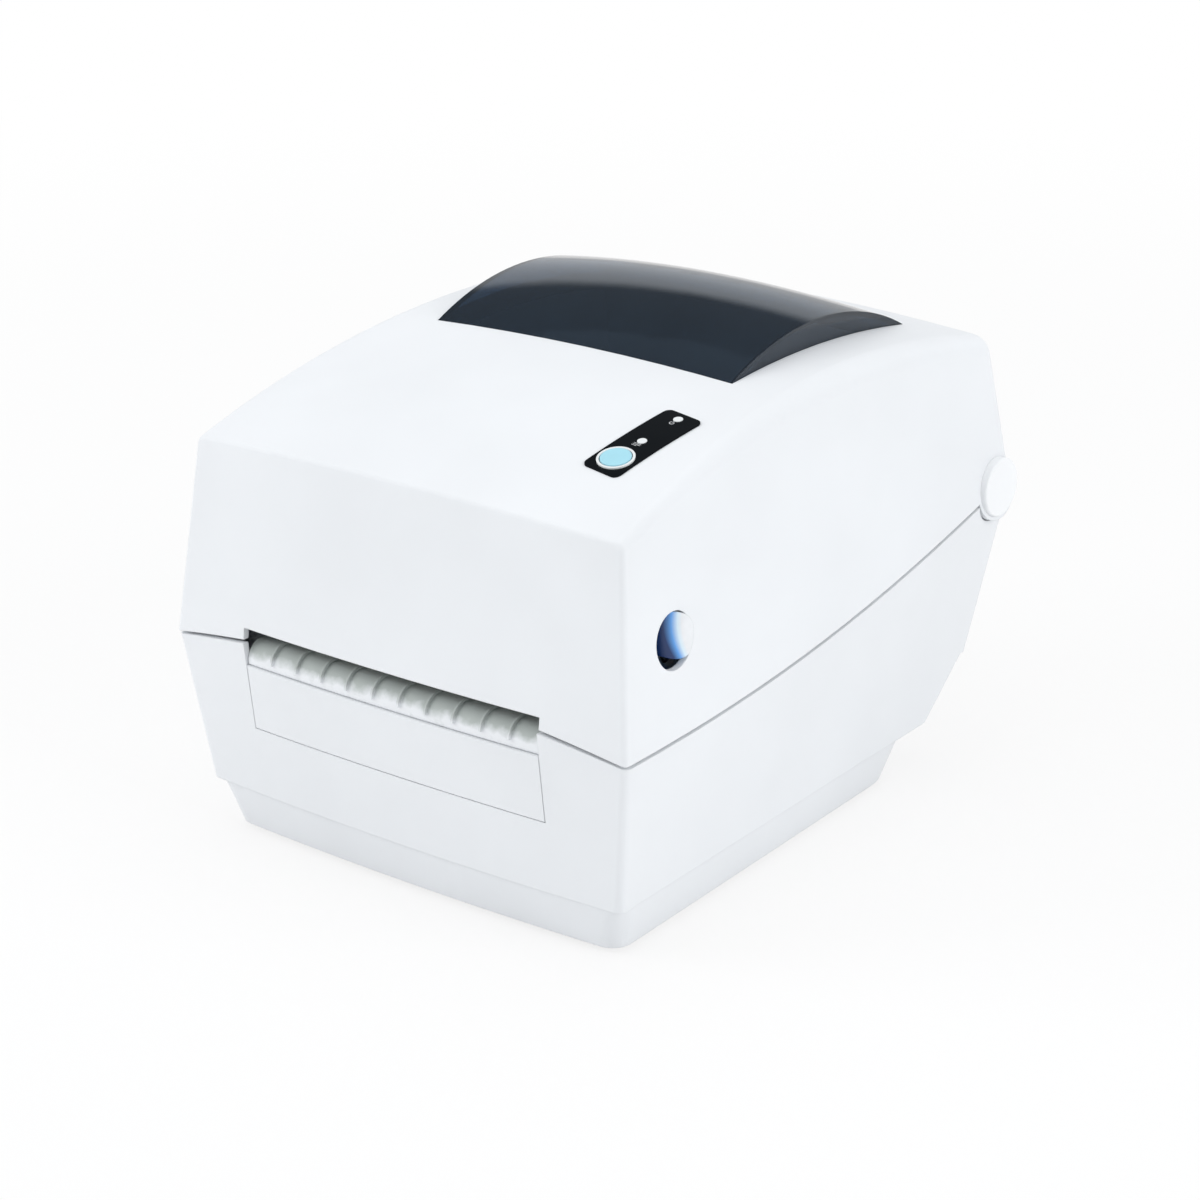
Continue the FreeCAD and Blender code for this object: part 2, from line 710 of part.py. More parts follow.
CHASSIS_POST_X = 0.8 * CHASSIS_X
CHASSIS_POST_DEPTHS = [CHASSIS_FRONT_DEPTH + step for step in CHASSIS_POST_STEPS]
CHASSIS_POSTS = [(side * CHASSIS_POST_X, depth) for side in (-1, 1) for depth in CHASSIS_POST_DEPTHS]

BAY_FLOOR_Z = TRAY_TOP + BAY_FLOOR_RISE
CHANNEL_Z = BAY_FLOOR_Z - CHANNEL_DEPTH
HOLDER_Y = at_depth((BAY_FRONT_DEPTH + BAY_REAR_DEPTH) / 2)
HUB_Z = BAY_FLOOR_Z + HUB_RISE
RACK_PITCH_RADIUS = RACK_TEETH * RACK_MODULE / 2
RACK_Z = CHANNEL_Z + SLIDE_CLEARANCE
CHANNEL_HALF = RACK_PITCH_RADIUS + 1.25 * RACK_MODULE + RACK_BACK + SLIDE_CLEARANCE
ARM_X = BAY_HALF_WIDTH - ARM_GAP - ARM_THICKNESS

SUPPLY_Y = at_depth(SUPPLY_DEPTH)
SUPPLY_Z = PARTING_Z + SUPPLY_RISE
TAKEUP_Y = at_depth(TAKEUP_DEPTH)
TAKEUP_Z = PARTING_Z + TAKEUP_RISE
RIBBON_PITCH_RADIUS = RIBBON_TEETH * GEAR_MODULE / 2
RIBBON_IDLER_Y = TAKEUP_Y + 2 * RIBBON_PITCH_RADIUS * math.cos(RIBBON_GEAR_ANGLE)
RIBBON_IDLER_Z = TAKEUP_Z + 2 * RIBBON_PITCH_RADIUS * math.sin(RIBBON_GEAR_ANGLE)
RIBBON_GEAR_X = -FRAME_X - FRAME_PLATE - GEAR_GAP - GEAR_WIDTH
FRAME_OUT = FRAME_X + FRAME_PLATE
FRAME_TOP_Z = PARTING_Z + FRAME_TOP_RISE
FRAME_TAB_X = FRAME_OUT + FRAME_TAB_OUT
FRAME_TAB_DEPTHS = (TAKEUP_DEPTH - FRAME_TAB_HALF, FRAME_REAR_DEPTH - 2 * FRAME_TAB_HALF)
FRAME_SCREWS = [(side * FRAME_TAB_X, at_depth(depth)) for side in (-1, 1) for depth in FRAME_TAB_DEPTHS]
HEAD_Z = PAPER_Z + HEAD_GAP
SINK_Z = HEAD_Z + HEAD_HEIGHT
HEAD_BAR_Z = SINK_Z + SINK_HEIGHT + HEAD_SPRING_ROOM

LATCH_Y = at_depth(LATCH_DEPTH)
LATCH_Z = PARTING_Z + LATCH_RISE
LATCH_SHAFT_Y = at_depth(LATCH_SHAFT_DEPTH)
LATCH_SHAFT_Z = PARTING_Z + LATCH_SHAFT_RISE
CATCH_Y = at_depth(CATCH_DEPTH)
CATCH_Z = PARTING_Z - CATCH_DROP

PORT_BOTTOM_Z = NOTCH_Z + PORT_BOTTOM_RISE
PORT_Z = PORT_BOTTOM_Z + PORT_HEIGHT / 2
PORT_FACE_Y = REAR - CASE_REAR_SLOPE * (HINGE_Z - PORT_Z)
PORT_BOARD_Y = at_depth(PORT_BOARD_DEPTH)
SWITCH_Y = PORT_FACE_Y - SWITCH_DEPTH / 2
CASE_SCREW_X = BODY_WIDTH / 2 - CASE_SCREW_SIDE
CASE_SCREW_PLACES = [(CASE_SCREW_X, CASE_SCREW_FRONT)]
CASE_SCREW_PLACES += [(CASE_SCREW_X - CASE_SCREW_TAIL, TRAY_REAR_DEPTH - CASE_SCREW_REAR)]
CASE_SCREWS = [(side * x, at_depth(depth)) for side in (-1, 1) for x, depth in CASE_SCREW_PLACES]

# The button's own axis is the lid's normal under it
BUTTON_X = strip_x(BUTTON_DEPTH)
BUTTON_Y = at_depth(BUTTON_DEPTH)
BUTTON_RUN = BUTTON_DEPTH - CROWN_DEPTH
BUTTON_SLOPE_Y = -BUTTON_RUN / math.sqrt(CROWN_RADIUS ** 2 - BUTTON_RUN ** 2)
BUTTON_SLOPE_X = -BUTTON_X / math.sqrt(CROSS_CROWN_RADIUS ** 2 - BUTTON_X ** 2)
BUTTON_AXIS = Vector(-BUTTON_SLOPE_X, -BUTTON_SLOPE_Y, 1).normalize()
BUTTON_SEAT = Vector(BUTTON_X, BUTTON_Y, lid_surface(BUTTON_X, BUTTON_DEPTH))
STRIP_TURN = -math.degrees(math.atan(STRIP_LEAN))


def on_button(low, high, radius):
    return Part.makeCylinder(radius, high - low, BUTTON_SEAT + BUTTON_AXIS * low, BUTTON_AXIS)


def led_rod(depth, low, high, radius):
    run = depth - CROWN_DEPTH
    slope = -run / math.sqrt(CROWN_RADIUS ** 2 - run ** 2)
    axis = Vector(-BUTTON_SLOPE_X, -slope, 1).normalize()
    x = strip_x(depth)
    seat = Vector(x, at_depth(depth), lid_surface(x, depth))
    return Part.makeCylinder(radius, high - low, seat + axis * low, axis)


# Lower case group

def make_bottom_tray():
    tray = tray_solid(0, FOOT_HEIGHT, TRAY_TOP).cut(tray_solid(WALL, TRAY_FLOOR_Z, TRAY_TOP + WALL))
    posts = [post(x, y, TRAY_FLOOR_Z, TRAY_TOP, SCREW_POST_RADIUS) for x, y in CASE_SCREWS]
    for x, depth in CHASSIS_POSTS:
        posts.append(post(x, at_depth(depth), TRAY_FLOOR_Z, CHASSIS_FLOOR_Z, SCREW_POST_RADIUS))
    board_z = TRAY_FLOOR_Z + BOARD_RISE
    posts += [post(x, y, TRAY_FLOOR_Z, board_z, BOARD_POST_RADIUS) for x, y in board_corners()]
    tray = fuse(tray, *posts)
    for x, y in CASE_SCREWS:
        tray = cut(tray, post(x, y, FOOT_HEIGHT, TRAY_TOP, SCREW_RADIUS))
        tray = cut(tray, post(x, y, FOOT_HEIGHT, FOOT_HEIGHT + SCREW_HEAD, SCREW_HEAD_RADIUS))
    screw_tip = CHASSIS_FLOOR_Z - 4 * SCREW_HEAD
    for x, depth in CHASSIS_POSTS:
        tray = cut(tray, post(x, at_depth(depth), screw_tip, CHASSIS_FLOOR_Z, SCREW_RADIUS))
    return tray


def board_corners():
    inset = 2 * BOARD_POST_RADIUS
    depths = (BOARD_FRONT_DEPTH + inset, BOARD_REAR_DEPTH - inset)
    return [(side * (BOARD_HALF_WIDTH - inset), at_depth(depth)) for side in (-1, 1) for depth in depths]


def make_rubber_feet():
    half = BODY_WIDTH / 2 - TRAY_SETBACK - FOOT_INSET
    places = [(half, TRAY_FRONT_DEPTH + FOOT_INSET), (half - TRAY_TAIL, TRAY_REAR_DEPTH - FOOT_INSET)]
    feet = [post(s * x, at_depth(d), 0, FOOT_HEIGHT, FOOT_RADIUS) for s in (-1, 1) for x, d in places]
    return Part.makeCompound(feet)


def make_case_screws():
    tip = TRAY_TOP + WALL + 4 * SCREW_HEAD
    return Part.makeCompound([screw(x, y, FOOT_HEIGHT + SCREW_HEAD, tip) for x, y in CASE_SCREWS])


def below_lid():
    front = under_parting(-SEAM / 2)
    kept = front.fuse(behind_hinge(HINGE_Z - HINGE_RADIUS - SEAM / 2))
    return kept.cut(hinge_rod(HINGE_RADIUS + SEAM / 2))


def bezel_column(clearance, bottom_z, top_z):
    half = BEZEL_HALF_WIDTH + clearance
    return box(-half, half, FRONT - BODY_DEPTH, at_depth(GUIDE_DEPTH), bottom_z, top_z)


def port_column(clearance):
    half = PORT_HALF_WIDTH + clearance
    low = PORT_BOTTOM_Z - clearance
    high = PORT_BOTTOM_Z + PORT_HEIGHT + clearance
    return box(-half, half, PORT_BOARD_Y, REAR + BODY_DEPTH, low, high)


def make_lower_case():
    inner = case_solid(WALL, True)
    shell = case_solid(0, True).cut(inner)
    hole_half = BAY_HALF_WIDTH + FLOOR_HOLE_MARGIN
    hole_front = at_depth(CHASSIS_FRONT_DEPTH) - WALL
    hole_rear = at_depth(TRAY_REAR_DEPTH) - TRAY_REAR_RADIUS
    floor_hole = box(-hole_half, hole_half, hole_front, hole_rear, 0, TRAY_TOP + WALL)
    shell = cut(shell, floor_hole)
    ledge_slab = box(-BODY_WIDTH, BODY_WIDTH, at_depth(DECK_FRONT_DEPTH), at_depth(DECK_REAR_DEPTH),
                     DECK_Z - DECK_THICKNESS - LEDGE_HEIGHT, DECK_Z - DECK_THICKNESS)
    ledge = inner.common(ledge_slab).cut(case_solid(WALL + LEDGE_WIDTH))
    boss_top = TRAY_TOP + WALL + 6 * SCREW_HEAD
    bosses = [post(x, y, TRAY_TOP, boss_top, SCREW_POST_RADIUS) for x, y in CASE_SCREWS]
    reach = case_half(CATCH_DEPTH, CATCH_Z) - WALL / 2
    catch_boss = rod(HOOK_X + HOOK_THICKNESS + HOOK_ROOM, reach, CATCH_Y, CATCH_Z, CATCH_BOSS_RADIUS)
    board_back = PORT_BOARD_Y + BOARD_THICKNESS
    post_x = PORT_HALF_WIDTH + PORT_POST_OUT
    board_post = stud(post_x, board_back, PORT_FACE_Y - WALL / 2, PORT_Z, SCREW_HEAD_RADIUS)
    shell = fuse(shell, ledge, *bosses, catch_boss, mirrored(catch_boss), board_post, mirrored(board_post))
    shell = shell.common(below_lid())
    bezel_hole = bezel_column(BEZEL_SEAM, PARTING_Z - BEZEL_DROP - BEZEL_SEAM, HINGE_Z)
    shell = cut(shell, bezel_hole, port_column(PORT_CLEARANCE))
    catch = catch_pin()
    shell = cut(shell, catch, mirrored(catch))
    for x, y in CASE_SCREWS:
        shell = cut(shell, post(x, y, TRAY_TOP, TRAY_TOP + WALL + 4 * SCREW_HEAD, SCREW_RADIUS))
    return shell


def case_half(depth, z):
    foot_half = waist_half(0) - CASE_FOOT_SETBACK - CASE_FOOT_TAIL * depth / BODY_DEPTH
    return foot_half + (waist_half(depth) - foot_half) * (z - TRAY_TOP) / (parting_height(depth) - TRAY_TOP)


def make_front_bezel():
    skin = case_solid(0).cut(case_solid(WALL))
    return skin.common(bezel_column(0, PARTING_Z - BEZEL_DROP, PARTING_Z - GUIDE_DROP - BEZEL_SEAM)).Solids[0]


def rounded_guide(proud):
    column = bezel_column(0, PARTING_Z - GUIDE_DROP, PARTING_Z + GUIDE_RISE + proud)
    block = case_solid(-proud).common(column)
    front_y = end_face(block, -1).CenterOfMass.y
    edges = []
    top = PARTING_Z + GUIDE_RISE + proud
    for edge in block.Edges:
        high = edge.BoundBox.ZMin > top - BEZEL_SEAM
        near_front = abs(edge.CenterOfMass.y - front_y) < FRONT_BULGE
        if high and near_front and edge.BoundBox.XLength > BEZEL_HALF_WIDTH:
            edges.append(edge)
    return block.makeFillet(GUIDE_ROUND, edges)


def make_paper_guide():
    plain = rounded_guide(-FIN_PROUD)
    ribbed = rounded_guide(0)
    fins = []
    for index in range(FIN_COUNT):
        x = (index - (FIN_COUNT - 1) / 2) * FIN_PITCH
        x0, x1 = x - FIN_THICKNESS / 2, x + FIN_THICKNESS / 2
        slot = box(x0, x1, FRONT - BODY_DEPTH, at_depth(GUIDE_DEPTH), PARTING_Z - GUIDE_DROP / 3, HINGE_Z)
        fins.append(ribbed.common(slot))
    return fuse(plain, *fins)


def make_chassis():
    rear = SENSOR_DEPTH + SENSOR_RAIL_WIDTH / 2
    y0, y1 = at_depth(CHASSIS_FRONT_DEPTH), at_depth(rear)
    x0, x1 = CHASSIS_X, CHASSIS_X + PLATE
    floor_rear = CHASSIS_POSTS[-1][1] + 2 * SCREW_HEAD_RADIUS
    floor = box(-x1, x1, y0, at_depth(floor_rear), CHASSIS_FLOOR_Z, CHASSIS_FLOOR_Z + PLATE)
    cheek = box(x0, x1, y0, y1, CHASSIS_FLOOR_Z, CHASSIS_TOP_Z)
    half = MOTOR_SIZE / 2 + MOTOR_MARGIN
    motor_plate = box(-x1, -x0, MOTOR_Y - half, MOTOR_Y + half, MOTOR_Z - half, MOTOR_Z + half)
    chassis = fuse(floor, cheek, mirrored(cheek), motor_plate)
    seat = rod(x0, x1, PLATEN_Y, PLATEN_Z, BEARING_RADIUS)
    chassis = cut(chassis, seat, mirrored(seat), rod(-x1, -x0, IDLER_Y, IDLER_Z, AXLE_RADIUS))
    chassis = cut(chassis, rod(-x1, -x0, MOTOR_Y, MOTOR_Z, AXLE_RADIUS + SLIDE_CLEARANCE))
    floor_top = CHASSIS_FLOOR_Z + PLATE
    for x, depth in CHASSIS_POSTS:
        chassis = cut(chassis, post(x, at_depth(depth), CHASSIS_FLOOR_Z, floor_top, SCREW_RADIUS))
    return chassis


def make_chassis_screws():
    head = CHASSIS_FLOOR_Z + PLATE
    tip = CHASSIS_FLOOR_Z - 4 * SCREW_HEAD
    return Part.makeCompound([screw(x, at_depth(depth), head, tip) for x, depth in CHASSIS_POSTS])


def make_platen_bearings():
    ring = rod(CHASSIS_X, CHASSIS_X + PLATE, PLATEN_Y, PLATEN_Z, BEARING_RADIUS)
    ring = cut(ring, rod(CHASSIS_X, CHASSIS_X + PLATE, PLATEN_Y, PLATEN_Z, SHAFT_RADIUS + RUNNING_CLEARANCE))
    return both_sides(ring)


def make_platen_shaft():
    return rod(GEAR_X - SHAFT_END, CHASSIS_X + PLATE + GEAR_GAP, PLATEN_Y, PLATEN_Z, SHAFT_RADIUS)


def make_platen_roller():
    roller = rod(-PLATEN_HALF_LENGTH, PLATEN_HALF_LENGTH, PLATEN_Y, PLATEN_Z, PLATEN_RADIUS)
    return cut(roller, rod(-PLATEN_HALF_LENGTH, PLATEN_HALF_LENGTH, PLATEN_Y, PLATEN_Z, SHAFT_RADIUS))


def make_platen_gear():
    return cross_gear(PLATEN_TEETH, SHAFT_RADIUS, PLATEN_PHASE, GEAR_X, PLATEN_Y, PLATEN_Z)


def make_idler_gear():
    return cross_gear(IDLER_TEETH, AXLE_RADIUS + RUNNING_CLEARANCE, IDLER_PHASE, GEAR_X, IDLER_Y, IDLER_Z)


def make_idler_axle():
    return rod(GEAR_X - SHAFT_END, -CHASSIS_X, IDLER_Y, IDLER_Z, AXLE_RADIUS)


def make_motor_pinion():
    wheel = cross_gear(MOTOR_TEETH, AXLE_RADIUS, MOTOR_PHASE, GEAR_X, MOTOR_Y, MOTOR_Z)
    inner = -CHASSIS_X + MOTOR_LENGTH * 0.7
    return fuse(wheel, rod(GEAR_X - SHAFT_END, inner, MOTOR_Y, MOTOR_Z, AXLE_RADIUS))


def make_stepper_motor():
    half = MOTOR_SIZE / 2
    end = -CHASSIS_X + MOTOR_LENGTH
    body = box(-CHASSIS_X, end, MOTOR_Y - half, MOTOR_Y + half, MOTOR_Z - half, MOTOR_Z + half)
    edges = [edge for edge in body.Edges if edge.BoundBox.XLength > MOTOR_LENGTH / 2]
    body = body.makeChamfer(MOTOR_SIZE / 9, edges)
    bore_end = -CHASSIS_X + MOTOR_LENGTH * 0.75
    return cut(body, rod(-CHASSIS_X, bore_end, MOTOR_Y, MOTOR_Z, AXLE_RADIUS + RUNNING_CLEARANCE))


def sensor_rail_box(grow):
    half = SENSOR_RAIL_WIDTH / 2 + grow
    y = at_depth(SENSOR_DEPTH)
    z0, z1 = sensor_rail_z(), sensor_rail_z() + SENSOR_RAIL_HEIGHT
    return box(-CHASSIS_X, CHASSIS_X, y - half, y + half, z0 - grow, z1 + grow)


def sensor_rail_z():
    return PAPER_Z - SENSOR_PAPER_GAP - SENSOR_TOP - SENSOR_RAIL_HEIGHT


def make_sensor_rail():
    return sensor_rail_box(0)


def make_gap_sensor():
    half = SENSOR_RAIL_WIDTH / 2 + SENSOR_SKIRT
    y = at_depth(SENSOR_DEPTH)
    top = sensor_rail_z() + SENSOR_RAIL_HEIGHT + SENSOR_TOP
    block = box(-SENSOR_HALF_WIDTH, SENSOR_HALF_WIDTH, y - half, y + half, sensor_rail_z(), top)
    return cut(block, sensor_rail_box(SLIDE_CLEARANCE))


def make_media_bay():
    z0, z1 = DECK_Z - DECK_THICKNESS, DECK_Z
    slab = box(-BODY_WIDTH, BODY_WIDTH, at_depth(DECK_FRONT_DEPTH), at_depth(DECK_REAR_DEPTH), z0, z1)
    deck = case_solid(WALL + SLIDE_CLEARANCE, True).common(slab)
    half, y0, y1 = BAY_HALF_WIDTH, at_depth(BAY_FRONT_DEPTH), at_depth(BAY_REAR_DEPTH)
    wide = half + BAY_WALL
    outer = box(-wide, wide, y0 - BAY_WALL, y1 + BAY_WALL, BAY_FLOOR_Z - BAY_WALL, z1)
    channel_wide = CHANNEL_HALF + BAY_WALL
    trough_z = CHANNEL_Z - BAY_WALL
    trough = box(-wide, wide, HOLDER_Y - channel_wide, HOLDER_Y + channel_wide, trough_z, BAY_FLOOR_Z)
    outer = cut(outer, notch_block(WALL + SLIDE_CLEARANCE))
    hollow = cut(box(-half, half, y0, y1, BAY_FLOOR_Z, z1), notch_block(WALL + SLIDE_CLEARANCE + BAY_WALL))
    bay = cut(fuse(deck, outer, trough), hollow)
    channel = box(-half, half, HOLDER_Y - CHANNEL_HALF, HOLDER_Y + CHANNEL_HALF, CHANNEL_Z, BAY_FLOOR_Z)
    bay = cut(bay, channel)
    return fuse(bay, post(0, HOLDER_Y, CHANNEL_Z, RACK_Z + RACK_HEIGHT, PINION_POST_RADIUS))


def make_holder(side):
    # The left holder is side -1, with its rack in front of the pinion; the right one's is behind
    foot_y = HOLDER_Y + side * CHANNEL_HALF - side * SLIDE_CLEARANCE
    foot_in = HOLDER_Y + side * (RACK_PITCH_RADIUS + 1.25 * RACK_MODULE)
    arm_z = BAY_FLOOR_Z + SLIDE_CLEARANCE
    x0, x1 = sorted((side * ARM_X, side * (ARM_X + ARM_THICKNESS)))
    arm = prism([
        (HOLDER_Y - ARM_HALF_DEPTH, arm_z),
        (HOLDER_Y + ARM_HALF_DEPTH, arm_z),
        (HOLDER_Y + HUB_RADIUS, HUB_Z),
        (HOLDER_Y - HUB_RADIUS, HUB_Z),
    ], x0, x1)
    head = rod(x0, x1, HOLDER_Y, HUB_Z, HUB_RADIUS + ARM_RIM)
    foot = box(x0, x1, min(foot_y, foot_in), max(foot_y, foot_in), RACK_Z, arm_z)
    bar_ends = sorted((side * ARM_X, -side * RACK_REACH))
    pitch_y = HOLDER_Y + side * RACK_PITCH_RADIUS
    bar = rack(bar_ends[0], bar_ends[1], pitch_y, -side, RACK_Z, RACK_Z + RACK_HEIGHT)
    hub_seat = Vector(side * ARM_X, HOLDER_Y, HUB_Z)
    hub = Part.makeCone(HUB_RADIUS, HUB_RADIUS - HUB_TAPER, HUB_LENGTH, hub_seat, Vector(-side, 0, 0))
    return fuse(arm, head, foot, bar, hub)


def make_holder_pinion():
    width = RACK_HEIGHT - SLIDE_CLEARANCE
    bore = PINION_POST_RADIUS + RUNNING_CLEARANCE
    wheel = gear(RACK_TEETH, RACK_MODULE, width, bore, RACK_BACKLASH, math.pi / 2)
    wheel.translate(Vector(0, HOLDER_Y, RACK_Z))
    return wheel


def make_hinge_barrel():
    end = hinge_face_x() - HINGE_GAP
    pipe = rod(-end, end, HINGE_Y, HINGE_Z, HINGE_BARREL_RADIUS)
    web_y = HINGE_Y - HINGE_BARREL_RADIUS
    web = box(-end, end, web_y, web_y + WALL, DECK_Z, HINGE_Z)
    half = BAY_HALF_WIDTH
    sole_front = at_depth(BAY_REAR_DEPTH) + BAY_WALL
    sole_rear = at_depth(DECK_REAR_DEPTH) - SLIDE_CLEARANCE
    sole = box(-half, half, sole_front, sole_rear, DECK_Z, DECK_Z + WALL)
    barrel = fuse(pipe, web, sole)
    hollow = end - 3 * HINGE_BOSS_LENGTH
    barrel = cut(barrel, rod(-hollow, hollow, HINGE_Y, HINGE_Z, HINGE_BARREL_RADIUS - WALL))
    pin = hinge_pin()
    return cut(barrel, pin, mirrored(pin))


def hinge_face_x():
    return cap_seat_x() - HINGE_BOSS_LENGTH


def cap_seat_x():
    hinge_depth = BODY_DEPTH - HINGE_RADIUS
    return waist_half(hinge_depth) - LID_DRAFT * (HINGE_Z - parting_height(hinge_depth)) - CAP_SEAT


def hinge_pin():
    end = hinge_face_x() - HINGE_GAP
    return rod(end - HINGE_BOSS_LENGTH, cap_seat_x() - 2 * HINGE_GAP, HINGE_Y, HINGE_Z, HINGE_PIN_RADIUS)


def make_hinge_pins():
    return both_sides(hinge_pin())


def make_hinge_caps():
    seat = cap_seat_x()
    cap = rod(seat, seat + CAP_SEAT + CAP_PROUD, HINGE_Y, HINGE_Z, CAP_RADIUS)
    rim = [edge for edge in cap.Edges if edge.BoundBox.XMin > seat + CAP_SEAT]
    return both_sides(cap.makeFillet(CAP_PROUD / 3, rim))


def make_catch_pins():
    return both_sides(catch_pin())


def catch_pin():
    end = case_half(CATCH_DEPTH, CATCH_Z) - WALL / 2 - SHAFT_END
    return rod(HOOK_X, end, CATCH_Y, CATCH_Z, CATCH_RADIUS)


def make_main_board():
    z = TRAY_FLOOR_Z + BOARD_RISE
    y0, y1 = at_depth(BOARD_FRONT_DEPTH), at_depth(BOARD_REAR_DEPTH)
    board = box(-BOARD_HALF_WIDTH, BOARD_HALF_WIDTH, y0, y1, z, z + BOARD_THICKNESS)
    top = z + BOARD_THICKNESS
    mid = (y0 + y1) / 2
    half = BOARD_HALF_WIDTH
    depth = y1 - y0
    chips = [
        box(-half / 4, half / 7, y0 + depth / 6, y0 + depth * 0.42, top, top + CHIP_HEIGHT),
        box(half * 0.3, half * 0.53, y0 + depth * 0.19, y0 + depth * 0.3, top, top + CHIP_HEIGHT),
        box(-half * 0.8, -half * 0.57, mid, mid + depth / 8, top, top + CONNECTOR_HEIGHT),
        box(-half / 3, half / 3, y0 + WALL, y0 + depth / 10, top, top + CONNECTOR_HEIGHT),
        post(half * 0.68, mid + CAPACITOR_RADIUS, top, top + CAPACITOR_HEIGHT, CAPACITOR_RADIUS),
        post(half * 0.68, mid + 4 * CAPACITOR_RADIUS, top, top + CAPACITOR_HEIGHT, CAPACITOR_RADIUS),
    ]
    return fuse(board, *chips)


def make_port_board():
    z0 = PORT_BOTTOM_Z - BOARD_THICKNESS
    z1 = DECK_Z - DECK_THICKNESS - LEDGE_HEIGHT
    half = PORT_HALF_WIDTH + PORT_BOARD_MARGIN
    return box(-half, half, PORT_BOARD_Y, PORT_BOARD_Y + BOARD_THICKNESS, z0, z1)


def make_port_plate():
    skin = case_solid(0).cut(case_solid(WALL))
    plate = skin.common(port_column(0)).Solids[0]
    holes = [
        port_hole(USB_X, USB_WIDTH, USB_HEIGHT, PORT_CLEARANCE),
        port_hole(JACK_X, JACK_WIDTH, USB_HEIGHT, PORT_CLEARANCE),
        port_hole(SWITCH_X, SWITCH_WIDTH, SWITCH_HEIGHT, SWITCH_GAP),
    ]
    return cut(plate, *holes)


def port_hole(x, width, height, clearance):
    half_x = width / 2 + clearance
    half_z = height / 2 + clearance
    return box(x - half_x, x + half_x, PORT_BOARD_Y, REAR + WALL, PORT_Z - half_z, PORT_Z + half_z)


def make_usb_socket():
    y0, y1 = PORT_BOARD_Y + BOARD_THICKNESS, PORT_FACE_Y
    half_x, half_z, sheet = USB_WIDTH / 2, USB_HEIGHT / 2, SOCKET_SHEET
    shell = box(USB_X - half_x, USB_X + half_x, y0, y1, PORT_Z - half_z, PORT_Z + half_z)
    well_x, well_z = half_x - sheet, half_z - sheet
    well = box(USB_X - well_x, USB_X + well_x, y0 + 2 * sheet, y1, PORT_Z - well_z, PORT_Z + well_z)
    tongue_x = half_x / 2
    tongue = box(USB_X - tongue_x, USB_X + tongue_x, y0, y1 - 2 * sheet, PORT_Z - sheet, PORT_Z + 2 * sheet)
    return fuse(cut(shell, well), tongue)


def make_power_inlet():
    y0, y1 = PORT_BOARD_Y + BOARD_THICKNESS, PORT_FACE_Y
    half_x, half_z = JACK_WIDTH / 2, USB_HEIGHT / 2
    block = box(JACK_X - half_x, JACK_X + half_x, y0, y1, PORT_Z - half_z, PORT_Z + half_z)
    block = cut(block, stud(JACK_X, y0 + JACK_FLOOR, y1, PORT_Z, JACK_BORE_RADIUS))
    return fuse(block, stud(JACK_X, y0, y1 - JACK_PIN_SHY, PORT_Z, JACK_PIN_RADIUS))


def make_switch_body():
    y0 = PORT_BOARD_Y + BOARD_THICKNESS
    y1 = SWITCH_Y - SWITCH_DEPTH / 2 - SWITCH_GAP
    half_x, half_z = SWITCH_WIDTH / 2, SWITCH_HEIGHT / 2
    base = box(SWITCH_X - half_x, SWITCH_X + half_x, y0, y1, PORT_Z - half_z, PORT_Z + half_z)
    pivot = rod(SWITCH_X - half_x, SWITCH_X + half_x, SWITCH_Y, PORT_Z, SWITCH_PIVOT_RADIUS)
    ears = []
    for side in (-1, 1):
        x0, x1 = sorted((SWITCH_X + side * half_x, SWITCH_X + side * (half_x - SWITCH_EAR)))
        ears.append(box(x0, x1, y1, SWITCH_Y + SWITCH_EAR, PORT_Z - SWITCH_EAR, PORT_Z + SWITCH_EAR))
    return fuse(base, *ears, pivot)


def make_power_switch():
    half_x = SWITCH_WIDTH / 2 - SWITCH_EAR - SLIDE_CLEARANCE
    half_z = SWITCH_HEIGHT / 2
    back_y = SWITCH_Y - SWITCH_DEPTH / 2
    face_y = PORT_FACE_Y + SWITCH_PROUD
    rocker = prism([
        (back_y + SWITCH_GAP, PORT_Z - half_z),
        (back_y, PORT_Z),
        (back_y + SWITCH_GAP, PORT_Z + half_z),
        (face_y, PORT_Z + half_z),
        (face_y - SWITCH_DISH, PORT_Z),
        (face_y, PORT_Z - half_z),
    ], SWITCH_X - half_x, SWITCH_X + half_x)
    bore_radius = SWITCH_PIVOT_RADIUS + RUNNING_CLEARANCE
    rocker = cut(rocker, rod(SWITCH_X - half_x, SWITCH_X + half_x, SWITCH_Y, PORT_Z, bore_radius))
    rocker.rotate(Vector(SWITCH_X, SWITCH_Y, PORT_Z), Vector(1, 0, 0), -SWITCH_TILT)
    return rocker


# Lid group

def above_case():
    tool = under_parting(SEAM / 2).fuse(behind_hinge(HINGE_Z))
    return tool.cut(hinge_rod(HINGE_RADIUS))


def window_column(grow):
    half = WINDOW_HALF_WIDTH + grow
    y0, y1 = at_depth(WINDOW_FRONT_DEPTH) - grow, at_depth(WINDOW_REAR_DEPTH) + grow
    return box(-half, half, y0, y1, CROWN_Z - LID_HEIGHT / 2, CROWN_Z + LID_HEIGHT)


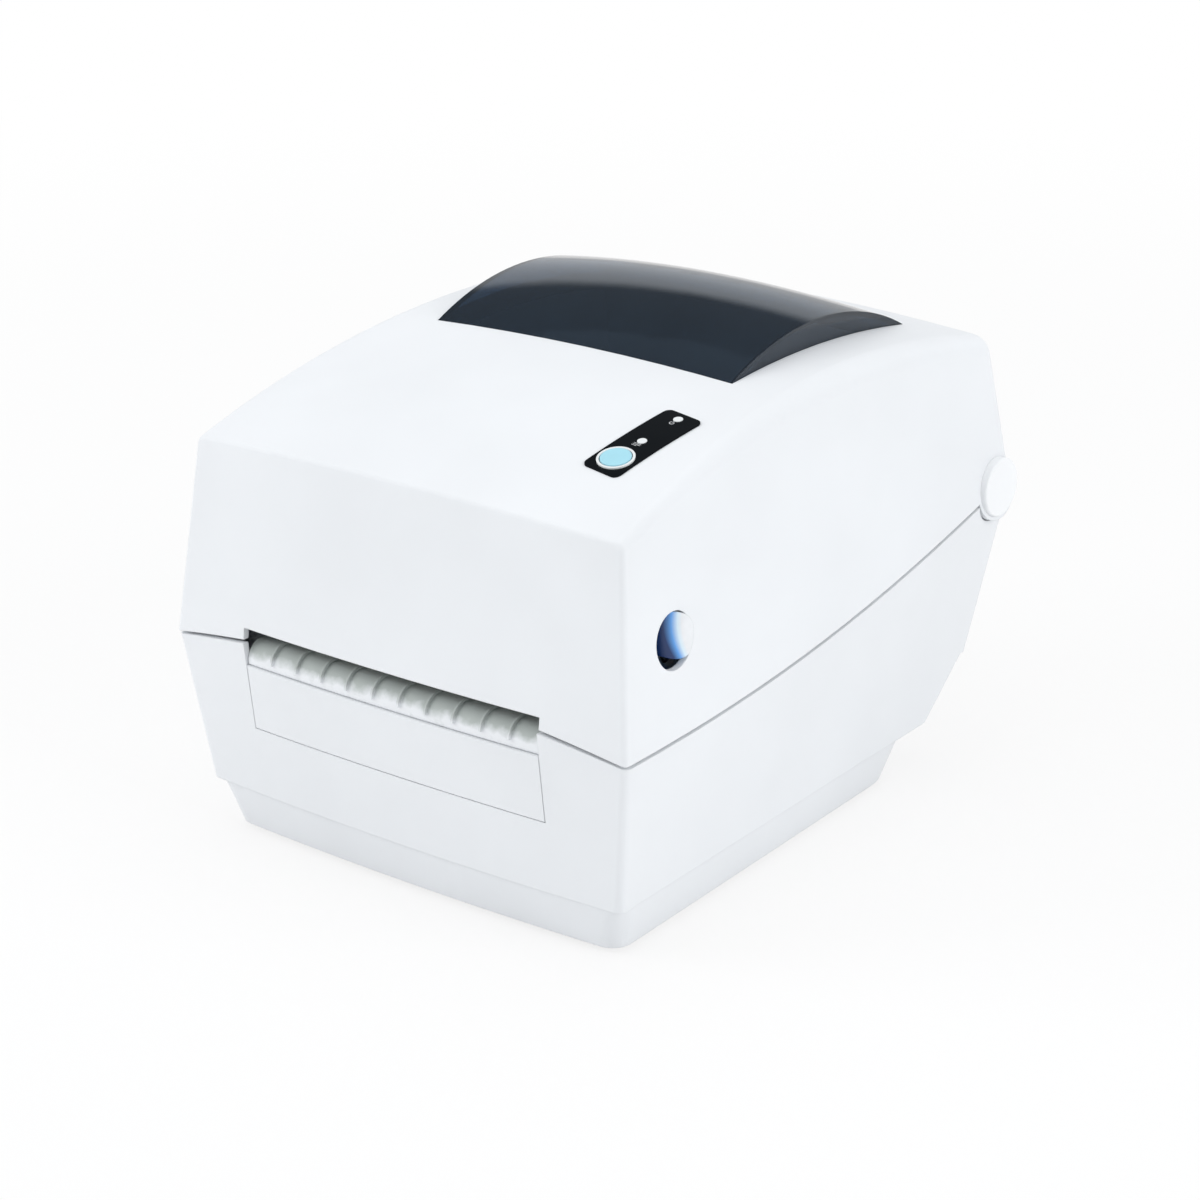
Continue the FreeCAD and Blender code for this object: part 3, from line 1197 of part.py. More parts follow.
def make_lid_shell():
    outer = lid_solid(0, True)
    shell = cut(outer, lid_solid(WALL))
    seat = cap_seat_x()
    boss = rod(hinge_face_x(), seat, HINGE_Y, HINGE_Z, HINGE_BOSS_RADIUS)
    posts = []
    for depth in FRAME_TAB_DEPTHS:
        top = lid_surface(FRAME_TAB_X, depth) - WALL / 2
        posts.append(post(FRAME_TAB_X, at_depth(depth), FRAME_TOP_Z, top, FRAME_POST_RADIUS))
    posts += [mirrored(shape) for shape in posts] + panel_posts()
    shell = fuse(shell, boss, mirrored(boss), *posts)
    shell = cut(shell, above_case())
    half = SLOT_HALF_WIDTH
    slot = box(-half, half, FRONT - BODY_DEPTH, at_depth(PLATEN_DEPTH), 0, SLOT_TOP_Z)
    bore = rod(hinge_face_x(), seat - HINGE_GAP, HINGE_Y, HINGE_Z, HINGE_PIN_RADIUS + RUNNING_CLEARANCE)
    pocket = rod(seat, CUT_SPAN / 2, HINGE_Y, HINGE_Z, CAP_RADIUS)
    hole = rod(LATCH_ARM_X, CUT_SPAN / 2, LATCH_Y, LATCH_Z, LATCH_HOLE_RADIUS)
    shell = cut(shell, slot, window_column(WINDOW_SEAM))
    for tool in (bore, pocket, hole):
        shell = cut(shell, tool, mirrored(tool))
    shell = cut(shell, on_button(-2 * WALL, WALL, BUTTON_RADIUS + BUTTON_CLEARANCE))
    for depth in LED_DEPTHS:
        shell = cut(shell, led_rod(depth, -2 * WALL, WALL, LED_RADIUS))
    for x, y in FRAME_SCREWS:
        shell = cut(shell, post(x, y, FRAME_TOP_Z, FRAME_TOP_Z + 3 * SCREW_HEAD, SCREW_RADIUS))
    return shell


def panel_posts():
    low, high = -PANEL_BOARD_DROP - BOARD_THICKNESS, -WALL / 2
    depths = (BUTTON_DEPTH + PANEL_POST_MARGINS[0], STRIP_REAR_DEPTH - PANEL_POST_MARGINS[1])
    return [led_rod(depth, low, high, PANEL_POST_RADIUS) for depth in depths]


def window_section(x, inset):
    front, rear = at_depth(WINDOW_FRONT_DEPTH) + inset, at_depth(WINDOW_REAR_DEPTH) - inset
    low = CROWN_Z - LID_HEIGHT / 4
    front_z = lid_surface(x, WINDOW_FRONT_DEPTH) - inset
    rear_z = lid_surface(x, WINDOW_REAR_DEPTH) - inset
    share = x / WINDOW_HALF_WIDTH
    top = (front_z + rear_z) / 2 + WINDOW_RISE + WINDOW_CROSS_RISE * (1 - share ** 2)
    front_foot, front_top = Vector(x, front, low), Vector(x, front, front_z)
    rear_top, rear_foot = Vector(x, rear, rear_z), Vector(x, rear, low)
    crest = Vector(x, (front + rear) / 2, top)
    return Part.Wire([
        Part.LineSegment(front_foot, front_top).toShape(),
        Part.Arc(front_top, crest, rear_top).toShape(),
        Part.LineSegment(rear_top, rear_foot).toShape(),
        Part.LineSegment(rear_foot, front_foot).toShape(),
    ])


def window_bubble(inset):
    half = WINDOW_HALF_WIDTH - inset
    sections = [window_section(x, inset) for x in (-half, -half / 2, 0, half / 2, half)]
    return Part.makeLoft(sections, True, False)


def make_lid_window():
    bubble = window_bubble(0).cut(window_bubble(WINDOW_THICKNESS))
    bubble = cut(bubble, lid_solid(WALL + WINDOW_SKIRT))
    ledge = lid_solid(WALL).cut(lid_solid(WALL + WINDOW_THICKNESS))
    rim = window_column(WINDOW_FLANGE).cut(window_column(-WINDOW_THICKNESS))
    low = CROWN_Z - LID_HEIGHT / 4
    rim = rim.common(box(-CUT_SPAN, CUT_SPAN, FRONT, REAR, low, CROWN_Z))
    return fuse(bubble, ledge.common(rim))


def make_control_strip():
    x0, x1 = STRIP_X - STRIP_WIDTH / 2, STRIP_X + STRIP_WIDTH / 2
    y0, y1 = at_depth(STRIP_FRONT_DEPTH), at_depth(STRIP_REAR_DEPTH)
    column = box(x0, x1, y0, y1, CROWN_Z - LID_HEIGHT / 2, CROWN_Z + CASE_HEIGHT)
    uprights = [edge for edge in column.Edges if edge.BoundBox.ZLength > LID_HEIGHT / 2]
    column = column.makeFillet(STRIP_CORNER_RADIUS, uprights)
    column.rotate(Vector(STRIP_X, (y0 + y1) / 2, 0), Vector(0, 0, 1), STRIP_TURN)
    strip = lid_solid(-STRIP_THICKNESS).common(column).cut(lid_solid(0))
    strip = cut(strip, on_button(-WALL, WALL, BUTTON_RADIUS + BUTTON_RING))
    for depth in LED_DEPTHS:
        strip = cut(strip, led_rod(depth, -WALL, WALL, LED_RADIUS))
    return strip


def make_button_ring():
    outer = on_button(-STRIP_THICKNESS, 2 * STRIP_THICKNESS, BUTTON_RADIUS + BUTTON_RING).cut(lid_solid(0))
    return cut(outer, on_button(-WALL, WALL, BUTTON_RADIUS + BUTTON_CLEARANCE))


def make_feed_button():
    cap = on_button(-BUTTON_LENGTH, BUTTON_PROUD, BUTTON_RADIUS)
    rim = []
    for edge in cap.Edges:
        height = (edge.CenterOfMass - BUTTON_SEAT).dot(BUTTON_AXIS)
        if edge.Closed and height > BUTTON_PROUD / 2:
            rim.append(edge)
    return cap.makeFillet(BUTTON_PROUD / 3, rim)


def make_indicator_lights():
    pipes = [led_rod(depth, -2 * WALL, STRIP_THICKNESS + LED_PROUD, LED_RADIUS) for depth in LED_DEPTHS]
    return Part.makeCompound(pipes)


def make_panel_board():
    # The small board lies square to the button's axis, held by posts under the lid
    length = STRIP_REAR_DEPTH - STRIP_FRONT_DEPTH
    front = STRIP_FRONT_DEPTH - BUTTON_DEPTH
    board = box(-PANEL_BOARD_WIDTH / 2, PANEL_BOARD_WIDTH / 2, front, front + length, -BOARD_THICKNESS, 0)
    key_height = PANEL_BOARD_DROP - BUTTON_LENGTH - BUTTON_TRAVEL - KEY_GAP
    board = fuse(board, post(0, 0, 0, key_height, KEY_RADIUS))
    turn = Rotation(Vector(0, 0, 1), BUTTON_AXIS).multiply(Rotation(Vector(0, 0, 1), STRIP_TURN))
    board.Placement = FreeCAD.Placement(BUTTON_SEAT - BUTTON_AXIS * PANEL_BOARD_DROP, turn)
    return cut(board, *panel_posts())


def frame_outline():
    front = PLATEN_DEPTH - SINK_WIDTH / 2 - FRAME_PLATE
    mid = PLATEN_DEPTH + SINK_WIDTH / 2 + FRAME_PLATE
    foot_z, waist_z = SINK_Z - FRAME_FOOT_DROP, PARTING_Z + FRAME_WAIST_RISE
    shape = [(front, foot_z), (mid, foot_z), (mid, waist_z), (FRAME_REAR_DEPTH, waist_z)]
    shape += [(FRAME_REAR_DEPTH, FRAME_TOP_Z), (TAKEUP_DEPTH - SPINDLE_HUB_RADIUS, FRAME_TOP_Z)]
    shape.append((front, TAKEUP_Z - SPINDLE_HUB_RADIUS))
    return [(at_depth(depth), z) for depth, z in shape]


def make_ribbon_frame():
    cheek = prism(frame_outline(), FRAME_X, FRAME_OUT)
    tabs = []
    for depth in FRAME_TAB_DEPTHS:
        y = at_depth(depth)
        x1, half = FRAME_TAB_X + FRAME_TAB_HALF, FRAME_TAB_HALF
        tabs.append(box(FRAME_X, x1, y - half, y + half, FRAME_TOP_Z - FRAME_PLATE, FRAME_TOP_Z))
    cheek = fuse(cheek, *tabs)
    bar_y0, bar_y1 = PLATEN_Y - SINK_WIDTH / 2, PLATEN_Y + SINK_WIDTH / 2
    head_bar = box(-FRAME_OUT, FRAME_OUT, bar_y0, bar_y1, HEAD_BAR_Z, HEAD_BAR_Z + FRAME_PLATE)
    rear_y = at_depth(FRAME_REAR_DEPTH)
    rear_z = FRAME_TOP_Z - FRAME_BAR_HEIGHT
    rear_bar = box(-FRAME_OUT, FRAME_OUT, rear_y - FRAME_PLATE, rear_y, rear_z, FRAME_TOP_Z)
    tear_y = tear_bar_y() + TEAR_BAR_SHEET
    lip_z = SLOT_TOP_Z + TEAR_BAR_HEIGHT
    lip = box(-FRAME_OUT, FRAME_OUT, tear_y, tear_y + FRAME_PLATE, SLOT_TOP_Z + TEAR_TOOTH, lip_z)
    strut_y = at_depth(PLATEN_DEPTH - SINK_WIDTH / 2)
    strut = box(FRAME_X, FRAME_OUT, tear_y, strut_y, SINK_Z - FRAME_FOOT_DROP, lip_z)
    frame = fuse(cheek, mirrored(cheek), head_bar, rear_bar, lip, strut, mirrored(strut))
    x0, x1 = -FRAME_OUT, FRAME_OUT
    frame = cut(frame, rod(x0, x1, SUPPLY_Y, SUPPLY_Z, SPINDLE_RADIUS + RUNNING_CLEARANCE))
    frame = cut(frame, rod(x0, x1, TAKEUP_Y, TAKEUP_Z, SPINDLE_RADIUS + RUNNING_CLEARANCE))
    frame = cut(frame, rod(x0, x1, LATCH_SHAFT_Y, LATCH_SHAFT_Z, SHAFT_RADIUS + RUNNING_CLEARANCE))
    frame = cut(frame, rod(x0, -FRAME_X, RIBBON_IDLER_Y, RIBBON_IDLER_Z, AXLE_RADIUS))
    frame = cut(frame, sink_tab_box(SLIDE_CLEARANCE, HEAD_TRAVEL + SLIDE_CLEARANCE))
    for x, y in FRAME_SCREWS:
        frame = cut(frame, post(x, y, FRAME_TOP_Z - FRAME_PLATE, FRAME_TOP_Z, SCREW_RADIUS))
    return frame


def make_frame_screws():
    low, tip = FRAME_TOP_Z - FRAME_PLATE, FRAME_TOP_Z + 3 * SCREW_HEAD
    return Part.makeCompound([screw(x, y, low, tip) for x, y in FRAME_SCREWS])


def sink_tab_box(grow, lift):
    half = FRAME_OUT + SHAFT_END
    y_half = SINK_TAB / 2 + grow
    low = SINK_Z + SINK_TAB_SETBACK - grow
    high = SINK_Z + SINK_HEIGHT - SINK_TAB_SETBACK + lift
    return box(-half, half, PLATEN_Y - y_half, PLATEN_Y + y_half, low, high)


def make_heat_sink():
    y0, y1 = PLATEN_Y - SINK_WIDTH / 2, PLATEN_Y + SINK_WIDTH / 2
    block = box(-SINK_HALF_LENGTH, SINK_HALF_LENGTH, y0, y1, SINK_Z, SINK_Z + SINK_HEIGHT)
    sink = fuse(block, sink_tab_box(0, 0))
    half, z0, z1 = SINK_HALF_LENGTH, SINK_Z + SINK_HEIGHT / 2, SINK_Z + SINK_HEIGHT
    for side in (-1, 1):
        y = PLATEN_Y + side * SINK_WIDTH / 3
        sink = cut(sink, box(-half, half, y - SINK_GROOVE / 2, y + SINK_GROOVE / 2, z0, z1))
    return sink


def make_print_head():
    y0, y1 = PLATEN_Y - HEAD_WIDTH / 2, PLATEN_Y + HEAD_WIDTH / 2
    return box(-HEAD_HALF_LENGTH, HEAD_HALF_LENGTH, y0, y1, HEAD_Z, SINK_Z)


def make_head_springs():
    # Two bowed leaf springs between the heat sink and the frame's bar
    low, high = SINK_Z + SINK_HEIGHT, HEAD_BAR_Z
    half = SPRING_HALF_LENGTH

    def bow(x, drop):
        return Vector(x, PLATEN_Y - SPRING_WIDTH / 2, drop)

    springs = []
    for side in (-1, 1):
        x = side * SPRING_X
        left, right = bow(x - half, high - SPRING_SHEET), bow(x + half, high - SPRING_SHEET)
        left_top, right_top = bow(x - half, high), bow(x + half, high)
        face = Part.Face(Part.Wire([
            Part.Arc(left, bow(x, low), right).toShape(),
            Part.LineSegment(right, right_top).toShape(),
            Part.Arc(right_top, bow(x, low + SPRING_SHEET), left_top).toShape(),
            Part.LineSegment(left_top, left).toShape(),
        ]))
        springs.append(face.extrude(Vector(0, SPRING_WIDTH, 0)))
    return Part.makeCompound(springs)


def tear_bar_y():
    inner = FRONT + WALL + LID_FRONT_SLOPE * (SLOT_TOP_Z + TEAR_BAR_HEIGHT - WAIST_Z)
    return inner + arc_drop(BULGE_RADIUS, FRAME_OUT) + BEZEL_SEAM


def make_tear_bar():
    pitch = 2 * PLATEN_HALF_LENGTH / TEAR_BAR_TEETH
    low, high = SLOT_TOP_Z + TEAR_BAR_SHY, SLOT_TOP_Z + TEAR_BAR_HEIGHT
    points = []
    for index in range(TEAR_BAR_TEETH):
        x = -PLATEN_HALF_LENGTH + index * pitch
        points.append(Vector(x, 0, low + TEAR_TOOTH))
        points.append(Vector(x + pitch / 2, 0, low))
    ends = ((PLATEN_HALF_LENGTH, low + TEAR_TOOTH), (PLATEN_HALF_LENGTH, high), (-PLATEN_HALF_LENGTH, high))
    points += [Vector(x, 0, z) for x, z in ends]
    bar = Part.Face(Part.makePolygon(points + points[:1])).extrude(Vector(0, TEAR_BAR_SHEET, 0))
    bar.translate(Vector(0, tear_bar_y(), 0))
    return bar


def make_spindle(y, z, left_x):
    # A ribbon spindle: a rod with a ribbed hub at each end
    shaft = rod(left_x, FRAME_OUT + SPINDLE_END, y, z, SPINDLE_RADIUS)
    inside = FRAME_X - HUB_SIDE_GAP
    pieces = [shaft]
    for x0 in (-inside, inside - SPINDLE_HUB_LENGTH):
        x1 = x0 + SPINDLE_HUB_LENGTH
        pieces.append(rod(x0, x1, y, z, SPINDLE_HUB_RADIUS - HUB_FIN))
        for spoke in range(HUB_FIN_COUNT):
            fin = box(x0, x1, 0, SPINDLE_HUB_RADIUS, -HUB_FIN / 2, HUB_FIN / 2)
            fin.rotate(Vector(0, 0, 0), Vector(1, 0, 0), 360 * spoke / HUB_FIN_COUNT)
            fin.translate(Vector(0, y, z))
            pieces.append(fin)
    return fuse(*pieces)


def make_ribbon_supply():
    return make_spindle(SUPPLY_Y, SUPPLY_Z, -FRAME_OUT - SPINDLE_END)


def make_ribbon_takeup():
    return make_spindle(TAKEUP_Y, TAKEUP_Z, RIBBON_GEAR_X - SHAFT_END)


def make_takeup_gear():
    return cross_gear(RIBBON_TEETH, SPINDLE_RADIUS, RIBBON_GEAR_ANGLE, RIBBON_GEAR_X, TAKEUP_Y, TAKEUP_Z)


def make_ribbon_idler():
    phase = meshing_phase(RIBBON_TEETH, RIBBON_GEAR_ANGLE, RIBBON_GEAR_ANGLE, RIBBON_TEETH)
    bore = AXLE_RADIUS + RUNNING_CLEARANCE
    return cross_gear(RIBBON_TEETH, bore, phase, RIBBON_GEAR_X, RIBBON_IDLER_Y, RIBBON_IDLER_Z)


def make_ribbon_axle():
    return rod(RIBBON_GEAR_X - SHAFT_END, -FRAME_X, RIBBON_IDLER_Y, RIBBON_IDLER_Z, AXLE_RADIUS)


# Latch group

def make_latch_shaft():
    end = LATCH_ARM_X + LATCH_ARM
    return rod(-end, end, LATCH_SHAFT_Y, LATCH_SHAFT_Z, SHAFT_RADIUS)


def lid_half(depth, z):
    return waist_half(depth) - LID_DRAFT * (z - parting_height(depth))


def make_latch_lever():
    # The right-hand lever: a hub on the shaft, an arm and a bowed finger tab in the lid's side hole
    x0, x1 = LATCH_ARM_X, LATCH_ARM_X + LATCH_ARM
    tab_y, tab_z = LATCH_Y + LATCH_TAB_SHIFT, LATCH_Z + LATCH_TAB_LIFT
    radius = LATCH_HOLE_RADIUS - LATCH_TAB_GAP
    face_x = lid_half(LATCH_DEPTH, LATCH_Z) + LATCH_TAB_PROUD
    tab = rod(x0, face_x, LATCH_Y, LATCH_Z, radius).common(rod(x0, face_x, tab_y, tab_z, radius))
    z0, z1 = LATCH_Z - 2 * radius, LATCH_Z + 2 * radius
    bow_x = face_x - LATCH_TAB_ROUND
    bow = post(bow_x, tab_y + radius / 2, z0, z1, LATCH_TAB_ROUND)
    behind = box(x0, bow_x, tab_y - 2 * radius, tab_y + 2 * radius, z0, z1)
    tab = tab.common(fuse(bow, behind))
    hub = rod(x0, x1, LATCH_SHAFT_Y, LATCH_SHAFT_Z, LATCH_HUB_RADIUS)
    arm = prism([
        (LATCH_SHAFT_Y - LATCH_HUB_RADIUS, LATCH_SHAFT_Z),
        (LATCH_SHAFT_Y + LATCH_HUB_RADIUS, LATCH_SHAFT_Z),
        (tab_y + LATCH_HUB_RADIUS, tab_z),
        (tab_y - LATCH_HUB_RADIUS, tab_z),
    ], x0, x1)
    return cut(fuse(hub, arm, tab), rod(x0, x1, LATCH_SHAFT_Y, LATCH_SHAFT_Z, SHAFT_RADIUS))


def make_latch_hooks():
    x0, x1 = HOOK_X, HOOK_X + HOOK_THICKNESS
    nose_y = CATCH_Y + CATCH_RADIUS + HOOK_NOSE_GAP
    stem = LATCH_HUB_RADIUS / 2
    nose_z = CATCH_Z - CATCH_RADIUS
    arm = prism([
        (LATCH_SHAFT_Y - stem, LATCH_SHAFT_Z),
        (LATCH_SHAFT_Y + stem, LATCH_SHAFT_Z),
        (LATCH_SHAFT_Y + stem, nose_z - HOOK_NOSE),
        (nose_y, nose_z - HOOK_NOSE),
        (nose_y, nose_z),
        (LATCH_SHAFT_Y - stem, nose_z + CATCH_RADIUS),
    ], x0, x1)
    hook = fuse(rod(x0, x1, LATCH_SHAFT_Y, LATCH_SHAFT_Z, LATCH_HUB_RADIUS), arm)
    hook = cut(hook, rod(x0, x1, LATCH_SHAFT_Y, LATCH_SHAFT_Z, SHAFT_RADIUS))
    return both_sides(hook)


MAKERS = {
    "bottom_tray": make_bottom_tray,
    "rubber_feet": make_rubber_feet,
    "case_screws": make_case_screws,
    "lower_case": make_lower_case,
    "front_bezel": make_front_bezel,
    "paper_guide": make_paper_guide,
    "chassis": make_chassis,
    "chassis_screws": make_chassis_screws,
    "platen_bearings": make_platen_bearings,
    "platen_shaft": make_platen_shaft,
    "platen_roller": make_platen_roller,
    "platen_gear": make_platen_gear,
    "idler_gear": make_idler_gear,
    "idler_axle": make_idler_axle,
    "motor_pinion": make_motor_pinion,
    "stepper_motor": make_stepper_motor,
    "sensor_rail": make_sensor_rail,
    "gap_sensor": make_gap_sensor,
    "media_bay": make_media_bay,
    "roll_holder_left": lambda: make_holder(-1),
    "roll_holder_right": lambda: make_holder(1),
    "holder_pinion": make_holder_pinion,
    "hinge_barrel": make_hinge_barrel,
    "hinge_pins": make_hinge_pins,
    "hinge_caps": make_hinge_caps,
    "catch_pins": make_catch_pins,
    "main_board": make_main_board,
    "port_board": make_port_board,
    "port_plate": make_port_plate,
    "usb_socket": make_usb_socket,
    "power_inlet": make_power_inlet,
    "switch_body": make_switch_body,
    "power_switch": make_power_switch,
    "lid_shell": make_lid_shell,
    "lid_window": make_lid_window,
    "control_strip": make_control_strip,
    "button_ring": make_button_ring,
    "feed_button": make_feed_button,
    "indicator_lights": make_indicator_lights,
    "panel_board": make_panel_board,
    "ribbon_frame": make_ribbon_frame,
    "frame_screws": make_frame_screws,
    "heat_sink": make_heat_sink,
    "print_head": make_print_head,
    "head_springs": make_head_springs,
    "tear_bar": make_tear_bar,
    "ribbon_supply_spindle": make_ribbon_supply,
    "ribbon_takeup_spindle": make_ribbon_takeup,
    "takeup_gear": make_takeup_gear,
    "ribbon_idler_gear": make_ribbon_idler,
    "ribbon_gear_axle": make_ribbon_axle,
    "latch_shaft": make_latch_shaft,
    "latch_lever_right": make_latch_lever,
    "latch_lever_left": lambda: mirrored(make_latch_lever()),
    "latch_hooks": make_latch_hooks,
}


def main():
    os.makedirs("parts", exist_ok=True)
    for name, make in MAKERS.items():
        shape = make()
        shape.exportStep("parts/" + name + ".step")


if __name__ == "__main__":
    main()
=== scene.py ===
import math

import bmesh
import bpy
from mathutils import Matrix, Vector
from mathutils.bvhtree import BVHTree


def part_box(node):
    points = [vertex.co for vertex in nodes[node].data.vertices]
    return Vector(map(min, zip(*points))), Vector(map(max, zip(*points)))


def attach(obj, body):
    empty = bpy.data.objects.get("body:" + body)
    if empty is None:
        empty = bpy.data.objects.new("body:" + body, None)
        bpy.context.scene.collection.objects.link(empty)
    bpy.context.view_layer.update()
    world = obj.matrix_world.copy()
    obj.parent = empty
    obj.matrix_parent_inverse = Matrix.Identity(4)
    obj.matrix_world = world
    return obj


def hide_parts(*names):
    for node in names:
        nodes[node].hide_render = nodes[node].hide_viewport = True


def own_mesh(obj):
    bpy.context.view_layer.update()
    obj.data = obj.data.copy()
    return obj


# The looks of a desktop label printer: a finish for every piece of the frame, small details that ride on it,
# and a plain pale studio. Sizes are in metres, with MM for those that are easier to read in millimetres.

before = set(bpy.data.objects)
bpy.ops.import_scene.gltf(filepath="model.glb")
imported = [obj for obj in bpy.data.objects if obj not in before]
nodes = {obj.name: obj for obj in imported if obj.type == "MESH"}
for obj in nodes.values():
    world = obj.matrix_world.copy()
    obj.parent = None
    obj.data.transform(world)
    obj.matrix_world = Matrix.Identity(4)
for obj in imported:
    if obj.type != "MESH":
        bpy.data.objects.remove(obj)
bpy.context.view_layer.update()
MM = 0.001

# Camera, fitted to the photograph's perspective
CAMERA_PLACE = Vector((0.677, -0.8715, 0.487))
CAMERA_AZIMUTH = math.radians(38.0)
CAMERA_ELEVATION = math.radians(20.416)
CAMERA_LENS = 95.43
CAMERA_SENSOR = 36.0
CAMERA_NEAREST = 0.05

# Colours, linear
WHITE = (0.83, 0.85, 0.875)
CAP_WHITE = (0.90, 0.915, 0.93)
RING_WHITE = (0.84, 0.87, 0.88)
PRINT_WHITE = (0.80, 0.82, 0.84)
WARM_WHITE = (0.78, 0.77, 0.72)
BAY_GREY = (0.50, 0.51, 0.52)
RIBBON_GREY = (0.36, 0.37, 0.38)
CHARCOAL = (0.045, 0.048, 0.052)
STRIP_BLACK = (0.006, 0.0078, 0.0098)
MOTOR_BLACK = (0.03, 0.03, 0.033)
PLATEN_BLACK = (0.040, 0.040, 0.043)
FOOT_BLACK = (0.030, 0.030, 0.032)
BUTTON_CYAN = (0.40, 0.74, 0.86)
# The latch's navy is painted shade in its recess, and its pale is painted sheen where it comes flush
LATCH_PAINTED_SHADE = (0.012, 0.040, 0.150)
LATCH_BLUE = (0.13, 0.38, 0.84)
LATCH_PAINTED_SHEEN = (0.70, 0.84, 0.94)
GUIDE_SHADE = (0.47, 0.51, 0.49)
SMOKE = (0.15, 0.215, 0.30)
BOARD = (0.010, 0.115, 0.050)
BOARD_PALE = (0.016, 0.15, 0.065)
TRACK = (0.022, 0.20, 0.085)
COPPER = (0.55, 0.42, 0.20)
BRASS = (0.62, 0.43, 0.17)
STEEL = (0.56, 0.57, 0.58)
BRIGHT_STEEL = (0.62, 0.63, 0.64)
ALUMINIUM = (0.70, 0.71, 0.72)
CERAMIC = (0.72, 0.70, 0.64)
HEATER = (0.10, 0.07, 0.05)
FLOOR_PALE = (0.86, 0.86, 0.86)
SKY = (0.97, 0.985, 1.0)

# The crescent of painted shade on the latch tab, round its painted sheen: its middle from the lever's front
# and top, and its two radii
CRESCENT_BACK, CRESCENT_DROP = 35.5 * MM, 3.7 * MM
CRESCENT_OUTER, CRESCENT_INNER = 31.8 * MM, 25.4 * MM

# How far down from its top the paper guide gets painted shadow, for the lid's front above it
GUIDE_SHADOW_REACH = 7 * MM

# Screws: the shank as a share of the head's radius, the thread's root and the tip as shares of the shank's,
# and the pan head's outline in shares of the head's radius and height
SCREW_HEAD = 2.0 * MM
THREAD_PITCH = 0.7 * MM
SHANK_SHARE = 0.5
THREAD_ROOT = 0.84
SCREW_TIP = 0.7
PAN_HEAD = ((1.0, 0.5), (0.92, 0.78), (0.72, 0.94), (0.45, 1.0), (0, 1.0))

# The cross recess: how far its bit reaches above and below the head's top, and its arms at those two heights
BIT_PROUD, BIT_DEPTH = 0.2 * MM, 1.2 * MM
BIT_REACH = (1.75 * MM, 0.75 * MM)
BIT_HALF_WIDTH = (0.42 * MM, 0.30 * MM)

# The feet's grooves, in shares of a foot's radius and height
FOOT_GROOVES = ((0.26, 0.42), (0.58, 0.74))
GROOVE_SLOPE = 0.04
GROOVE_DEPTH = 0.35
FOOT_EDGE, FOOT_EDGE_RISE = 0.95, 0.2

# Printed marks: their depth and height, how far off the surface is looked for, and the signs' step aside
MARK_SUNK, MARK_PROUD = 0.05 * MM, 0.03 * MM
MARK_PROBE = 20 * MM
SIGN_OFFSET = 3.4 * MM

# Meshes: points nearer to each other than this are one, and edges past this angle are drawn sharp
WELD, MARK_WELD = 0.001 * MM, 0.01 * MM
SHARP_ANGLE = math.radians(35)

# The floor, and the distances from the middle over which it turns white
FLOOR_HALF = 6.0
FLOOR_DROP = 0.05 * MM
FLOOR_WHITENS = (0.25, 1.3)
FLOOR_WHITE_NEAR = 0.78

# The world's level as light, and what gloss mirrors of it, fading over the Z and the X of a direction
WORLD_LEVEL = 0.70
MIRRORED_PALE, MIRRORED_DIM = 0.75, 0.10
CEILING_FADE = (0.40, 0.52)
FLAG_FADE = (0.25, 0.55)

# Lamps, in watts
LAMP_AIM = Vector((0, 0, 0.1))
LAMPS = {
    "overhead": {"place": (-0.1, 0.1, 1.6), "size": (1.6, 1.6), "power": 7.0},
    "front_left": {"place": (-1.3, -1.3, 1.0), "size": (1.2, 1.0), "power": 12.4},
    "right": {"place": (1.6, 0.1, 0.9), "size": (1.2, 1.0), "power": 9.7},
}


# Finishes

def add_node(tree, kind, links=(), **values):
    """A new node, with its settings, and a source or a plain value for each of its sockets in links."""
    made = tree.nodes.new(kind)
    for key, value in values.items():
        setattr(made, key, value)
    for socket, source in dict(links).items():
        if isinstance(source, bpy.types.NodeSocket):
            tree.links.new(source, made.inputs[socket])
        else:
            made.inputs[socket].default_value = source
    return made


def faded(tree, value, span, low, high):
    """A smooth change from low to high as a value goes through its span."""
    links = {"Value": value, "From Min": span[0], "From Max": span[1], "To Min": low, "To Max": high}
    return add_node(tree, "ShaderNodeMapRange", links, interpolation_type="SMOOTHSTEP").outputs["Result"]


